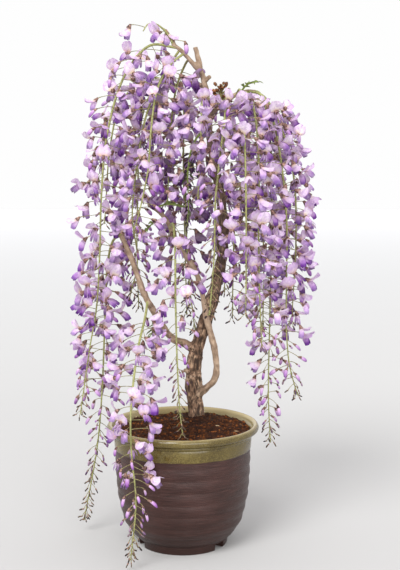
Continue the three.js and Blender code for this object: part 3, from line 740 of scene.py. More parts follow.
def potting_soil():
    # Baked clay granules and peat: matt, red-brown, nearly black in the gaps, and damp and dark
    # round the trunk.
    finish, node = blank_finish("granular_potting_soil")
    where = node("TexCoord").outputs["Object"]
    tone = node("Attribute", attribute_name="tone")
    grain = node("TexVoronoi", {"Vector": where, "Scale": spaced(2.38095)})
    lumps = node("TexNoise", {"Vector": where, "Scale": spaced(6.25), "Detail": 5.0})
    ground = node("ValToRGB", {"Fac": lumps},
                  stops=[(0.3, "#1C0E07"), (0.46, "#482712"), (0.6, "#6C3C1C"), (0.78, "#94602F")])
    crumb = node("ValToRGB", {"Fac": tone.outputs["Fac"]},
                 stops=[(0.0, "#1E0F08"), (0.34, "#46260F"), (0.64, "#6E3E1C"),
                        (CRUMB_TONE, "#96592C"), (0.86, "#E2C79C")])
    mixed = node("Mix", {"Factor": 0.7, "A": ground, "B": crumb})
    away = node("VectorMath", {0: where, 1: tuple(place(TRUNK_FOOT))}, operation="DISTANCE")
    darkening = node("MapRange",
                {"Value": away, "From Min": WET_RADIUS, "From Max": DRY_RADIUS, "To Min": 0.75,
                 "To Max": 0.0})
    wet = node("Mix", {"Factor": darkening, "A": mixed, "B": "#2B1A12"})
    bump = node("Bump", {"Strength": 0.6, "Distance": 0.0012, "Height": grain})
    skin = node("BsdfPrincipled",
                {"Base Color": wet, "Roughness": 0.9, "Specular IOR Level": 0.2, "Normal": bump})
    node("OutputMaterial", {"Surface": skin})
    return finish


def bark():
    # Old wisteria bark: grey-brown and rough on the trunk, smoother and tan on young limbs,
    # darkened in its furrows with painted shade, with paler rubbed knobs, and darker higher up with
    # painted shade under the crown.
    finish, node = blank_finish("furrowed_wisteria_bark")
    where = node("TexCoord").outputs["Object"]
    relief = node("Attribute", attribute_name="relief")
    youth = node("Attribute", attribute_name="youth")
    mottle = node("TexNoise", {"Vector": where, "Scale": spaced(7.6923), "Detail": 5.0})
    fine = node("TexNoise", {"Vector": where, "Scale": spaced(1.1111), "Detail": 3.0})
    old = node("ValToRGB", {"Fac": mottle},
               stops=[(0.32, "#4A3624"), (0.5, "#7C5F4A"), (0.66, "#BC9C7E")])
    young = node("ValToRGB", {"Fac": mottle},
                 stops=[(0.32, "#957C65"), (0.5, "#AA9179"), (0.68, "#BFA78F")])
    aged = node("Mix", {"Factor": youth.outputs["Fac"], "A": old, "B": young})
    # Painted shade: old bark darkens in its deeper furrows.
    hollow = node("MapRange",
                  {"Value": relief.outputs["Fac"], "From Min": 0.8, "From Max": 0.2, "To Max": 0.9})
    wear_and_painted_light = node("MapRange", {"Value": youth.outputs["Fac"], "To Min": 1.0, "To Max": 0.25})
    crack = node("Math", {0: hollow, 1: wear_and_painted_light}, operation="MULTIPLY")
    shaded = node("Mix", {"Factor": crack, "A": aged, "B": "#2B1D13"})
    # Painted shade under the crown: old bark darkens from the lower trunk upwards.
    height = node("SeparateXYZ", {"Vector": where}).outputs["Z"]
    darkening = node("MapRange",
                {"Value": height, "From Min": SHADE_START_HEIGHT, "From Max": SHADE_FULL_HEIGHT, "To Max": 0.6})
    crown_shade_share = node("Math", {0: darkening, 1: wear_and_painted_light}, operation="MULTIPLY")
    crown_shaded = node("Mix", {"Factor": crown_shade_share, "A": shaded, "B": "#33261D"})
    bump = node("Bump", {"Strength": 0.5, "Distance": 0.0005, "Height": fine})
    skin = node("BsdfPrincipled", {"Base Color": crown_shaded, "Roughness": 0.82, "Normal": bump})
    node("OutputMaterial", {"Surface": skin})
    return finish


def leaf_blade():
    # Unfolding wisteria leaflet: soft and yellow-green, with a paler rib and side veins.
    finish, node = blank_finish("young_leaf_blade")
    across, along, tone = petal_parts(node)
    off = node("Math", {0: across, 1: 0.5}, operation="SUBTRACT")
    side = node("Math", {0: off}, operation="ABSOLUTE")
    rib = node("MapRange", {"Value": side, "From Min": 0.1, "From Max": 0.0, "To Max": 0.7})
    slant = node("Math", {0: side, 1: along}, operation="SUBTRACT")
    comb = node("Math", {0: slant, 1: LEAFLET_VEINS * TAU}, operation="MULTIPLY")
    wave = node("Math", {0: comb}, operation="SINE")
    vein = node("MapRange", {"Value": wave, "From Min": 0.6, "To Max": 0.35})
    green = node("Mix", {"Factor": tone, "A": "#8C9C50", "B": "#434F28"})
    both = node("Math", {0: rib, 1: vein}, operation="MAXIMUM")
    veined = node("Mix", {"Factor": both, "A": green, "B": "#C6D48A"})
    lit_petal(node, veined, tone, 0.5, 0.25)
    return finish


# ------------------------------------------------------------------ pot and soil


def belly_radius(height, sizes):
    """The outside of the pot's body in mm, with the potter's finger rings on it."""
    ring = abs(math.sin(math.pi * (height * MM - RING_START) / sizes.ring_pitch))
    fade = clamp((height - RINGS.start) / RINGS.fade_in)
    fade *= clamp((RINGS.end - height) / RINGS.fade_out)
    return through(POT_BELLY, height) + (ring - RINGS.middle) * sizes.ring_depth / MM * fade


def rolled_lip():
    """The thick round lip, from the groove under it over its top to the inside."""
    turns = [between(LIP.start, LIP.end, i / LIP.steps) * math.pi for i in range(LIP.steps + 1)]
    return [(LIP.radius - LIP.half_width * (1 - math.cos(turn)),
             LIP.top - LIP.rise * (1 - math.sin(turn))) for turn in turns]


def pot_outline(sizes):
    """Radius and height in mm of the pot's section, once round its wall."""
    low, high = POT_BELLY[0][1], POT_BELLY[-1][1]
    lines = round((high - low) / POT_LINE)
    heights = [between(low, high, i / lines) for i in range(lines + 1)]
    body = [(belly_radius(height, sizes), height) for height in heights]
    return POT_FOOT + body + POT_BAND + rolled_lip() + POT_INSIDE + POT_UNDER


def spun(outline, sides):
    """A closed outline of (radius, height) in mm spun round the pot's axis."""
    shape = bmesh.new()
    verts = [shape.verts.new(place((radius, 0, height))) for radius, height in outline]
    edges = [shape.edges.new(pair) for pair in zip(verts, verts[1:] + verts[:1])]
    bmesh.ops.spin(shape, geom=verts + edges, cent=POT_AXIS, axis=(0, 0, 1), angle=TAU,
                   steps=sides, use_merge=True)
    bmesh.ops.remove_doubles(shape, verts=shape.verts, dist=1e-6)
    bmesh.ops.recalc_face_normals(shape, faces=shape.faces)
    for face in shape.faces:
        face.smooth = True
    return shape


def foot_notches():
    """The blocks cut from the foot ring, which leave three wide feet."""
    shape = bmesh.new()
    for i in range(FEET):
        turn = Matrix.Rotation(TAU * i / FEET + NOTCH_TURN, 4, "Z")
        size = Matrix.Diagonal((*(value * MM for value in NOTCH), 1))
        bmesh.ops.create_cube(shape, size=1, matrix=Matrix.Translation(POT_AXIS) @ turn
                              @ Matrix.Translation(Vector((POT_FOOT[0][0], 0, 0)) * MM) @ size)
    return mesh_from(shape, "foot_notches")


def build_pot(sizes):
    body = mesh_from(spun(pot_outline(sizes), sizes.sides), "pot")
    blocks = put("foot_notches", foot_notches())
    cut = {"operation": "DIFFERENCE", "solver": "EXACT", "object": blocks}
    mesh = made_real(body, [("BOOLEAN", cut)])
    bpy.data.objects.remove(blocks)
    show("glazed_stoneware_pot", mesh, ["pot"], [stoneware()])


def soil_height(x, y):
    """Height of the soil in mm: level at the wall, mounded up to the trunk, softly uneven."""
    away = math.hypot(x - TRUNK_FOOT[0], y - TRUNK_FOOT[1]) / SOIL_MOUND
    mound = (SOIL_HIGH - SOIL_LOW) * math.exp(-away * away)
    return SOIL_LOW + mound + SOIL_SWELL * math.sin(x * 0.21) * math.cos(y * 0.17)


def crumbled(x, y):
    """Height in mm of the lumps of soil at a place."""
    return sum(height * noise.noise((x / width, y / width, layer))
               for height, width, layer in SOIL_LUMPS)


def soil_ground():
    """The body of the soil as a mesh, from the bottom of the pot up to its lumpy surface."""
    side = [(radius - SOIL_GAP, height) for radius, height in reversed(POT_INSIDE[2:])]
    surface = [(SOIL_RADIUS * (1 - i / SOIL_RINGS), SOIL_LOW) for i in range(SOIL_RINGS)]
    shape = spun([(0, side[0][1] + SOIL_GAP), *side, *surface, (0, SOIL_LOW)], SOIL_SIDES)
    for vert in shape.verts:
        x, y, height = (vert.co - POT_AXIS) / MM
        if height > SOIL_LOW - 0.01:
            vert.co = place((x, y, soil_height(x, y) + crumbled(x, y)))
    return mesh_from(shape, "soil_ground")


def granule(draw):
    """One loose bit of soil as a mesh in mm, with an uneven surface."""
    shape = bmesh.new()
    made = bmesh.ops.create_icosphere(shape, subdivisions=1, radius=0.5)
    for vert in made["verts"]:
        vert.co *= draw.uniform(0.8, 1.15)
    mesh = mesh_from(shape, "granule")
    mesh.attributes.new("tone", "FLOAT", "FACE")
    return mesh


def scattered(template, matrix, values):
    """A copy of a template put in place, with its own value for each of its attributes."""
    copy = template.copy()
    copy.transform(matrix)
    for name, value in values.items():
        data = copy.attributes[name].data
        data.foreach_set("value", [value] * len(data))
    return copy


def build_soil(sizes):
    draw = random.Random("soil")
    kinds = [granule(draw) for _ in range(CRUMB_KINDS)]
    meshes = [soil_ground()]
    for i in range(sizes.crumbs):
        radius = LOOSE_RADIUS * math.sqrt(draw.random())
        turn = draw.uniform(0, TAU)
        x, y = radius * math.cos(turn), radius * math.sin(turn)
        size = sizes.crumb_size / MM * draw.choice(CRUMB_SIZES)
        spin = Matrix.Rotation(draw.uniform(0, TAU), 4, draw.choice("XYZ"))
        stretch = Vector((1, draw.uniform(0.45, 0.9), draw.uniform(0.4, 0.8)))
        tone = draw.uniform(0, CRUMB_TONE)
        if i < SOIL_CHIPS:
            stretch = Vector((draw.uniform(1.6, 3.4), draw.uniform(0.6, 1.2), 0.35))
            tone = CHIP_TONE
            spin = Matrix.Rotation(turn * 3, 4, "Z")
        top = Matrix.Translation(place((x, y, soil_height(x, y) + crumbled(x, y) + size * 0.12)))
        grown = Matrix.Diagonal((*stretch * size * MM, 1))
        meshes.append(scattered(draw.choice(kinds), top @ spin @ grown, {"tone": tone}))
    mesh = joined(meshes, "soil")
    show("granular_soil", mesh, ["soil"], [potting_soil()])


# ------------------------------------------------------------------ wood


def limb_radius(root, tip, share, way):
    """Radius in mm of a limb with the slow swellings of its nodes."""
    along = way / MM / KNOB_PITCH
    knobs = math.sin(along * 1.7) * 0.6 + math.sin(along * 0.73 + 1) * 0.7
    return between(root, tip, share ** LIMB_TAPER) * (1 + KNOB_SWELL * knobs)


def limb_lines():
    """Each limb and pruned stub as a line of (place, radius) pairs."""
    lines = []
    for (root, tip), points in LIMBS.values():
        stem = Stem(points, LIMB_DETAIL)
        lines.append([(spot, limb_radius(root, tip, way / stem.length, way) * MM)
                      for spot, way in zip(stem.spots, stem.ways)])
    for root, reach in STUBS:
        start = place(root)
        lines.append([(start + Vector(reach) * MM * share, radius * MM)
                      for share, radius in STUB_PROFILE])
    return lines


def furrow(across, along, sizes):
    """Heights of the bark in metres: its knobs, and the furrows that run along the limb."""
    lean = Vector((0.5, 0.5, 0.7))
    knob = noise.noise(across / KNOB_WIDTH + lean * along / KNOB_LENGTH)
    ridge = noise.noise(across / FURROW_WIDTH + lean * along / FURROW_LENGTH)
    return knob * sizes.knob_height, -abs(ridge) * sizes.furrow_depth * 2


def build_wood(sizes):
    lines = limb_lines()
    tubes = stems([(line, 0) for line in lines], 4)
    skin = {"mode": "VOXEL", "voxel_size": sizes.detail, "use_smooth_shade": True}
    mesh = made_real(tubes, [("REMESH", skin)])
    tree = kdtree.KDTree(sum(len(line) for line in lines))
    core = []
    for line in lines:
        way = 0.0
        for (spot, radius), (ahead, _) in zip(line, line[1:] + line[-1:]):
            tree.insert(spot, len(core))
            heading = ahead - spot
            core.append((spot, heading, way, radius))
            way += heading.length
    tree.balance()
    relief = mesh.attributes.new("relief", "FLOAT", "POINT")
    youth = mesh.attributes.new("youth", "FLOAT", "POINT")
    places = []
    normals = [normal.vector.copy() for normal in mesh.vertex_normals]
    for vert, normal in zip(mesh.vertices, normals):
        _, index, _ = tree.find(vert.co)
        spot, heading, way, radius = core[index]
        heading = heading.normalized()
        along = (vert.co - spot).dot(heading)
        knob, crack = furrow(vert.co - spot - heading * along, way + along, sizes)
        relief.data[vert.index].value = clamp(1 + crack / sizes.furrow_depth)
        near = (core[hit[1]][3] for hit in tree.find_range(vert.co, LIMB_REACH))
        thinness = OLD_RADIUS - max(near, default=radius) / MM
        youth.data[vert.index].value = clamp(thinness / (OLD_RADIUS - YOUNG_RADIUS))
        places.extend(vert.co + normal * (knob + crack) * clamp(radius / MM / FULL_RELIEF_RADIUS))
    mesh.vertices.foreach_set("co", places)
    show("bark_covered_wood", mesh, ["trunk_and_branches"], [bark()])


# ------------------------------------------------------------------ flowers

# Indices of the finishes of a raceme.
STALK, PEDICEL, CALYX, BANNER, WING, BUD = range(6)


def rounded(along, widest, reach):
    """The share of its full width that a petal has at a place along it."""
    return math.sqrt(max(0, 1 - ((along - widest) / reach) ** 2))


def banner_form(opening, ruffle, curl):
    """A banner petal: folded over the keel at an opening of 0, and turned back at 1."""
    petal = BANNER_FORM
    start = math.radians(between(*petal.turn, opening))
    bend = math.radians(between(*petal.bend, opening))
    fold = between(petal.fold, -curl, opening)

    def form(across, along):
        notch = petal.notch * math.exp(-(across / petal.notch_width) ** 2) * along ** 4
        reach = along * (1 - 0.16 * across * across) - notch
        angle = start + bend * reach
        radius = petal.length / bend
        ahead = radius * (math.sin(angle) - math.sin(start))
        rise = radius * (math.cos(start) - math.cos(angle))
        half = petal.width / 2 * rounded(along, 0.55, 0.6)
        half *= 1 + petal.ruffle * math.sin(6 * along + 5 * ruffle)
        wave = ruffle * (petal.wave * math.sin(5 * across + 9 * ruffle) * along
                         + math.sin(9 * across) * along ** 3)
        crease = petal.crease * math.exp(-(across / petal.crease_width) ** 2)
        crease *= (1 - 0.5 * along) * along
        lift = half * (1 - math.cos(across * fold)) / fold + wave - crease
        return (PETAL_ROOT + ahead + lift * math.sin(angle),
                half * math.sin(across * fold) / fold, 0.6 + rise - lift * math.cos(angle))
    return form


def wing_form(side, spread, droop):
    """A wing petal on one side of the keel, bulging outwards and curving down."""
    petal = WING_FORM

    def form(across, along):
        half = petal.width / 2 * rounded(along, 0.6, 0.7)
        bulge = petal.bulge * (1 - across * across) * math.sin(math.pi * along * 0.8)
        turn = droop * along
        return (PETAL_ROOT + petal.length * math.sin(turn) / droop
                + side * across * half * math.sin(turn) * 0.8, side * (1 + spread * along + bulge),
                -0.8 - petal.length * (1 - math.cos(turn)) / droop
                + side * across * half * math.cos(turn))
    return form


def keel_form(droop):
    """The boat of the two keel petals, open along its top."""
    def form(across, along):
        turn, way = across * math.pi * 0.47, droop * along
        depth = KEEL_FORM.end_depth + KEEL_FORM.swell * math.sin(math.pi * min(1, along * 0.9))
        return (PETAL_ROOT + WING_FORM.length * math.sin(way) / droop,
                KEEL_FORM.half_width * math.sin(turn) * (1.1 - along),
                -0.6 - WING_FORM.length * (1 - math.cos(way)) / droop - depth * math.cos(turn))
    return form


def bud_form(length, width, curve):
    """A closed bud like a curved pod, fattest past its middle."""
    def form(co):
        along = (co.z + 1) / 2
        girth = math.hypot(co.x, co.y)
        swell = width / 2 * (0.55 + 0.6 * along) if girth > 0 else 0
        spot = (length * (along - 0.02), co.y * swell * 0.85,
                co.x * swell - curve * length * along * along)
        return spot, (0.5, along)
    return form


def add_calyx(shape, length, root, mouth, sides):
    """The cup at the end of a flower's stem, closed at both ends."""
    turn = Matrix.Translation(Vector((length / 2 - 0.6, 0, 0))) @ Matrix.Rotation(TAU / 4, 4, "Y")
    made = bmesh.ops.create_cone(shape, cap_ends=True, segments=sides, radius1=root, radius2=mouth,
                                 depth=length, matrix=turn)
    mould(shape, made, CALYX, lambda co: (co, (0.5, 0)))


def sheet(shape, columns, rows, index, form):
    """A thin petal, scale or leaflet: form takes -1 to 1 across it and 0 to 1 along it."""
    made = bmesh.ops.create_grid(shape, x_segments=columns, y_segments=rows, size=1)

    def spread(co):
        along = (co.y + 1) / 2
        return form(co.x, along), ((co.x + 1) / 2, along)

    mould(shape, made, index, spread)


def bloom(opening, ruffle, curl=0.6):
    """An open flower that faces along X, in metres, with its calyx at the origin."""
    shape = bmesh.new()
    droop = between(0.5, 1.1, opening)
    sheet(shape, 6, 5, BANNER, banner_form(opening, ruffle, curl))
    for side in (-1, 1):
        sheet(shape, 2, 4, WING, wing_form(side, between(0.6, 3.0, opening), droop))
    sheet(shape, 2, 3, WING, keel_form(droop))
    add_calyx(shape, CALYX_LENGTH + 0.5, 1.2, 3.2, 6)
    return flower_mesh(shape)


def closed_bud(length, width, curve, sides):
    """A bud that points along X, in metres, with a calyx of its own if it is long enough."""
    shape = bmesh.new()
    made = bmesh.ops.create_uvsphere(shape, u_segments=sides, v_segments=sides, radius=1)
    mould(shape, made, BUD, bud_form(length, width, curve))
    if length > LONGEST_BARE_BUD:
        add_calyx(shape, length * 0.36, 0.9, width * 0.4, 5)
    return flower_mesh(shape)


def flower_mesh(shape):
    mesh = mesh_from(shape, "flower")
    for name in ("tone", "ripe"):
        mesh.attributes.new(name, "FLOAT", "FACE")
    return mesh


def flower_kit():
    """Every form that a flower takes from bud to full bloom."""
    return {
        "open": [bloom(0.95, 0.9, 0.8), bloom(0.82, -1.3, 1.1), bloom(0.62, 1.3, 0.5),
                 bloom(0.88, -0.8, 0.4), bloom(0.7, 1.1, 0.9)],
        "half": [bloom(0.5, 1.0), bloom(0.33, -0.9), bloom(0.16, 0.6), bloom(0.02, -0.4)],
        "bud": [closed_bud(14, 5.9, 0.2, 6), closed_bud(12.5, 4.8, 0.3, 6)],
        "small": [closed_bud(9, 3.7, 0.2, 5), closed_bud(8, 3.2, 0.1, 5)],
        "tiny": [closed_bud(6.4, 2.5, 0.1, 4)],
    }


def ripeness_at(share, open_end, young_start):
    """1 is in full bloom, 0.5 a full bud, and 0 the youngest bud at the tip."""
    return through([(1, open_end), (0.5, young_start), (0, 1)], share)


# How far painted shade darkens and dulls the flowers and leaflets inside the crown.
CROWN_SHADE = {"shaded": 1.1, "shaded_middle": 1.0, "middle_back": 0.8, "inner_left": 0.6,
          "crown_middle": 0.5}

# The chance of each form at a least ripeness, tried from the ripest down.
FORMS = [(0.97, {"open": 0.36, "half": 0.54, "bud": 0.1}),
         (0.85, {"open": 0.15, "half": 0.6, "bud": 0.25}),
         (0.68, {"half": 0.3, "bud": 0.7}),
         (0.48, {"bud": 0.75, "small": 0.25}),
         (0.26, {"small": 1.0}),
         (0.0, {"tiny": 1.0})]


def form_for(ripeness, draw):
    chances = next(chances for least, chances in FORMS if ripeness >= least)
    return draw.choices(list(chances), list(chances.values()))[0]


def level(angle):
    """The level direction at an angle round the upright."""
    return Vector((math.cos(angle), math.sin(angle), 0))


def facing(forward, roll):
    """Axes as a matrix: X along forward, and Z as near to upright as roll allows."""
    side = Vector((0, 0, 1)).cross(forward).normalized()
    up = forward.cross(side)
    axes = Matrix((forward, side, up)).transposed().to_4x4()
    return axes @ Matrix.Rotation(roll, 4, "X")


def walls():
    """The solids that no flower may grow into."""
    trees = []
    for node in ("pot", "soil", "trunk_and_branches"):
        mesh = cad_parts[node].data
        trees.append(bvhtree.BVHTree.FromPolygons([vert.co for vert in mesh.vertices],
                                                  [face.vertices for face in mesh.polygons]))
    return trees


def is_clear(matrix, size, barriers):
    """True if a flower's outer points stand clear of the walls and inside the part's box."""
    for point in FLOWER_REACH:
        spot = matrix @ (Vector(point) * size * MM)
        if spot.z < FLOOR_GAP or any(spot[k] < CAD_BOUNDS[0][k] - ROOM[k] or
                                     spot[k] > CAD_BOUNDS[1][k] + ROOM[k] for k in range(3)):
            return False
        # A place straight behind the nearest face is inside the solid.
        for tree in barriers:
            near, normal, _, distance = tree.find_nearest(spot)
            if distance < WALL_GAP or (spot - near).dot(normal) < -0.9 * distance:
                return False
    return True


def pedicel_line(root, outward, length, start, end):
    """A flower's stem from the stalk out, as its slope changes from start to end in radians."""
    line = [root]
    steps = len(PEDICEL_RADII) - 1
    for i in range(steps):
        slope = between(start, end, (i + 0.5) / steps)
        step = outward * math.cos(slope) + Vector((0, 0, math.sin(slope)))
        line.append(line[-1] + step * length / steps)
    return line


def grow_raceme(name, sizes, kit, barriers, finishes):
    """One raceme: its stalk, and flowers that spiral down it from open blooms to tiny buds."""
    shares, fullness, points = RACEMES[name]
    shade_depth = CROWN_SHADE.get(name, 0)
    draw = random.Random(f"{sizes.seed} {name}")
    stem = Stem(points, STALK_DETAIL)
    tip = sizes.stalk_radius * STALK_TAPER
    stalk = [(spot, between(sizes.stalk_radius, tip, way / stem.length))
             for spot, way in zip(stem.spots, stem.ways)]
    pedicels, flowers = [], []
    turn = draw.uniform(0, TAU)
    way = min(BARE_STALK, stem.length * BARE_SHARE)
    while way < stem.length - 0.001:
        ripeness = ripeness_at(way / stem.length, *shares)
        spot, heading = stem.at(way)
        hang = 1 if name in UPRIGHT else clamp(-heading.z * 1.3)
        grown = grow_flower(spot, turn, hang, ripeness, shade_depth, sizes, kit, barriers, draw)
        if grown:
            pedicels.append(grown[0])
            flowers.append(grown[1])
        turn += GOLDEN_TURN + draw.uniform(-0.35, 0.35)
        crowd = between(0.32, 1, clamp(ripeness * 1.2))
        way += sizes.spacing / fullness * crowd * draw.uniform(0.75, 1.25)
    meshes = [stems([(stalk, STALK)], 2, finishes), stems(pedicels, 0, finishes), *flowers]
    mesh = joined(meshes, name)
    show(f"flowering_{name}", mesh, [f"raceme_{name}"], finishes)


# Turns in radians and shares of its stem's length that a flower tries until it stands clear.
ATTEMPTS = [(aside, share) for aside in (0, 0.5, -0.5, 1, -1, 1.6, -1.6, 2.4, 3.1)
            for share in (1, 0.7, 0.45)]


def grow_flower(root, turn, hang, ripeness, shade_depth, sizes, kit, barriers, draw):
    """A flower and its stem, turned round the stalk until they stand clear, or None.

    The less the stalk hangs straight down there, the more its flowers droop."""
    form = form_for(ripeness, draw)
    length = sizes.pedicel * draw.uniform(0.6, 1.2) * between(0.3, 1, ripeness)
    start = between(-0.75, 0.1, ripeness) - 0.9 * (1 - hang) + draw.uniform(-0.3, 0.3)
    end = start - draw.uniform(0.1, 0.7)
    nod = draw.uniform(*NODS[form])
    roll = draw.uniform(-0.6, 0.6)
    swing = draw.uniform(-0.6, 0.6)
    size = sizes.bloom * draw.uniform(0.84, 1.1) * between(0.86, 1, ripeness)
    template = draw.choice(kit[form])
    # A tone above 1 paints shade on the flowers inside the crown.
    values = {"tone": draw.random() + shade_depth, "ripe": clamp(ripeness * 2.6 - 0.35)}
    for aside, share in ATTEMPTS:
        angle = turn + aside
        outward = level(angle)
        line = pedicel_line(root, outward, length * share, start, end)
        forward = level(angle + swing) * math.cos(nod) - Vector((0, 0, math.sin(nod)))
        matrix = Matrix.Translation(line[-1]) @ facing(forward, roll) @ Matrix.Scale(size, 4)
        if is_clear(matrix, min(1, ripeness + 0.25), barriers):
            return ([*zip(line, PEDICEL_RADII)], PEDICEL), scattered(template, matrix, values)
    return None


def build_racemes(sizes):
    kit = flower_kit()
    barriers = walls()
    finishes = raceme_finishes()
    for name in RACEMES:
        grow_raceme(name, sizes, kit, barriers, finishes)


# ------------------------------------------------------------------ buds and young leaves


def scaly_bud(length, width):
    """A winter bud that points along X: an egg under overlapping pointed scales."""
    shape = bmesh.new()
    made = bmesh.ops.create_uvsphere(shape, u_segments=6, v_segments=6, radius=1)
    mould(shape, made, 0, bud_form(length, width, 0))
    for i in range(BUD_SCALES):
        turn = Matrix.Rotation(i * GOLDEN_TURN, 4, "X")
        start = between(0.0, 0.42, i / BUD_SCALES) * length

        def scale(across, along):
            half = width * 0.42 * math.sqrt(max(0, 1 - along ** 3))
            out = width / 2 * (0.72 + 0.5 * math.sin(math.pi * along * 0.75)) - abs(across) * 0.5
            return turn @ Vector((start + along * length * 0.52, across * half, out))

        sheet(shape, 2, 3, 0, scale)
    return flower_mesh(shape)


def build_winter_buds():
    draw = random.Random("winter buds")
    kit = [scaly_bud(*size) for size in WINTER_BUD_KIT]
    root = place(BUD_SPUR)
    top = root + Vector((0, 0, BUD_SPUR_HEIGHT))
    twigs = [([*zip((root, root.lerp(top, 0.6), top), SPUR_RADII)], 1)]
    meshes = []
    for i in range(BUD_COUNT):
        turn = i * GOLDEN_TURN
        rise = between(-0.2, 1, draw.random())
        out = Vector((math.cos(turn), math.sin(turn), rise * 1.1)).normalized()
        start = root.lerp(top, between(0.35, 0.9, rise))
        foot = start + out * draw.uniform(*BUD_STALK_LENGTHS)
        twigs.append(([*zip((start, foot), BUD_STALK_RADII)], 1))
        matrix = Matrix.Translation(foot) @ facing(out, draw.uniform(0, TAU))
        values = {"tone": draw.random(), "ripe": 1.0}
        meshes.append(scattered(draw.choice(kit), matrix, values))
    finishes = [
        # Winter bud scales: dry, thin and dark red-brown, like varnished paper.
        plant_skin("dry_bud_scale", "#A0693F", "#2C1813", 0.55, 3.0),
        # The buds' own short stalks, still green and downy.
        plant_skin("downy_bud_stalk", "#8F8A56", "#5F4C33", 0.7, 3.0),
    ]
    mesh = joined([stems(twigs, 1, finishes), *meshes], "winter_buds")
    show("scaly_winter_buds", mesh, ["winter_buds"], finishes)


def leaflet(length, width, fold):
    """A lance-shaped leaflet along X, folded up a little along its rib and arched down."""
    shape = bmesh.new()

    def form(across, along):
        half = width / 2 * (math.sin(math.pi * along ** 0.75) ** 0.8 if 0 < along < 1 else 0.04)
        rise = abs(across) * half * fold - length * 0.22 * along * along
        return length * along, across * half, rise

    sheet(shape, 4, 7, 1, form)
    return flower_mesh(shape)


def build_shoot(name, points, finishes):
    """A young shoot: a thin stem with leaflets in pairs and one at its tip."""
    shade_depth = CROWN_SHADE.get(name, 0)
    draw = random.Random(f"shoot {name}")
    kit = [leaflet(*size) for size in LEAFLET_KIT]
    stem = Stem(points, SHOOT_DETAIL)
    lines = [([(spot, between(*SHOOT_RADII, way / stem.length))
               for spot, way in zip(stem.spots, stem.ways)], 0)]
    meshes = []
    pairs = max(4, round(stem.length / LEAFLET_PITCH))
    for pair in range(pairs + 1):
        share = between(0.32, 1.0, pair / pairs)
        root, heading = stem.at(share * stem.length)
        aside = heading.cross(Vector((0, 0, 1))).normalized()
        for spread in (0,) if pair == pairs else (-1, 1):
            angle = spread * draw.uniform(0.6, 1.1)
            ahead = heading * math.cos(angle) + aside * math.sin(angle)
            ahead = (ahead + Vector((0, 0, draw.uniform(-0.3, 0.45)))).normalized()
            size = between(1.0, 0.65, pair / pairs) * draw.uniform(0.85, 1.1)
            matrix = Matrix.Translation(root) @ facing(ahead, draw.uniform(-0.5, 0.5))
            # A tone above 1 paints shade on the leaflets inside the crown.
            values = {"tone": draw.random() + shade_depth, "ripe": 1.0}
            meshes.append(scattered(draw.choice(kit), matrix @ Matrix.Scale(size, 4), values))
    mesh = joined([stems(lines, 1, finishes), *meshes], f"shoot_{name}")
    show(f"young_leaves_{name}", mesh, [f"leaf_shoot_{name}"], finishes)


# ------------------------------------------------------------------ stage


def add_light(name, kind, spot, power):
    """A light that looks at the middle of the plant from a spot in mm."""
    lamp = bpy.data.lights.new(name, kind)
    lamp.energy = power
    light = put(name, lamp)
    light.location = place(spot)
    towards = place(PLANT_MIDDLE) - light.location
    light.rotation_euler = towards.to_track_quat("-Z", "Y").to_euler()
    return lamp


def backdrop_paper():
    # Seamless paper, matt and off-white, that pales into the distance.
    finish, node = blank_finish("backdrop_paper")
    where = node("TexCoord")
    away = node("VectorMath", {0: where.outputs["Object"]}, operation="LENGTH")
    shades = node("ValToRGB", {"Fac": node("Math", {0: away, 1: FLOOR_RADIUS}, operation="DIVIDE")},
                  stops=[(0.03, "#C2C1BF"), (0.3, "#C8C8C7"), (0.6, "#D2D2D2"), (1.0, "#DEDEDE")])
    skin = node("BsdfPrincipled",
                {"Base Color": shades, "Roughness": 0.9, "Specular IOR Level": 0.1})
    node("OutputMaterial", {"Surface": skin})
    return finish


def build_stage(sizes):
    """A pale floor that runs on all round, the lights and the camera."""
    shape = bmesh.new()
    bmesh.ops.create_circle(shape, cap_ends=True, segments=64, radius=FLOOR_RADIUS)
    floor = put("floor", mesh_from(shape, "floor"))
    floor.data.materials.append(backdrop_paper())

    camera_data = bpy.data.cameras.new("camera")
    camera_data.lens = sizes.lens
    camera = put("camera", camera_data)
    camera.location = place(CAMERA_SPOT)
    camera.rotation_euler = (math.pi / 2 - sizes.pitch, 0, 0)
    bpy.context.scene.camera = camera

    key = add_light("key", "SUN", KEY_SPOT, sizes.key_strength)
    key.angle = math.radians(30)
    fill = add_light("fill", "SUN", FILL_SPOT, sizes.fill_strength)
    fill.angle = math.radians(45)

    # White walls all round under a dimmer ceiling, so that the crown shades its own inside.
    world = bpy.data.worlds.new("studio")
    node = blank_nodes(world)
    where = node("TexCoord")
    split = node("SeparateXYZ", {"Vector": where.outputs["Generated"]})
    walls_to_ceiling = node("ValToRGB", {"Fac": split.outputs["Z"]},
                            stops=[(0.3, "#FEFEFE"), (0.6, sizes.ceiling)])
    glow = node("Background", {"Color": walls_to_ceiling})
    node("OutputWorld", {"Surface": glow})
    bpy.context.scene.world = world
    bpy.context.scene.view_settings.view_transform = "Standard"


# ------------------------------------------------------------------ operators and panel


class WISTERIA_OT_pot(bpy.types.Operator):
    """Throws and glazes the stoneware pot"""

    bl_idname = "wisteria.pot"
    bl_label = "Pot"

    def execute(self, context):
        build_pot(context.scene.wisteria_pot)
        return {"FINISHED"}


class WISTERIA_OT_soil(bpy.types.Operator):
    """Fills the pot with granular soil"""

    bl_idname = "wisteria.soil"
    bl_label = "Soil"

    def execute(self, context):
        build_soil(context.scene.wisteria_pot)
        return {"FINISHED"}


class WISTERIA_OT_wood(bpy.types.Operator):
    """Grows the trunk, the twining stem and the branches with their bark"""

    bl_idname = "wisteria.wood"
    bl_label = "Wood"

    def execute(self, context):
        build_wood(context.scene.wisteria_wood)
        return {"FINISHED"}


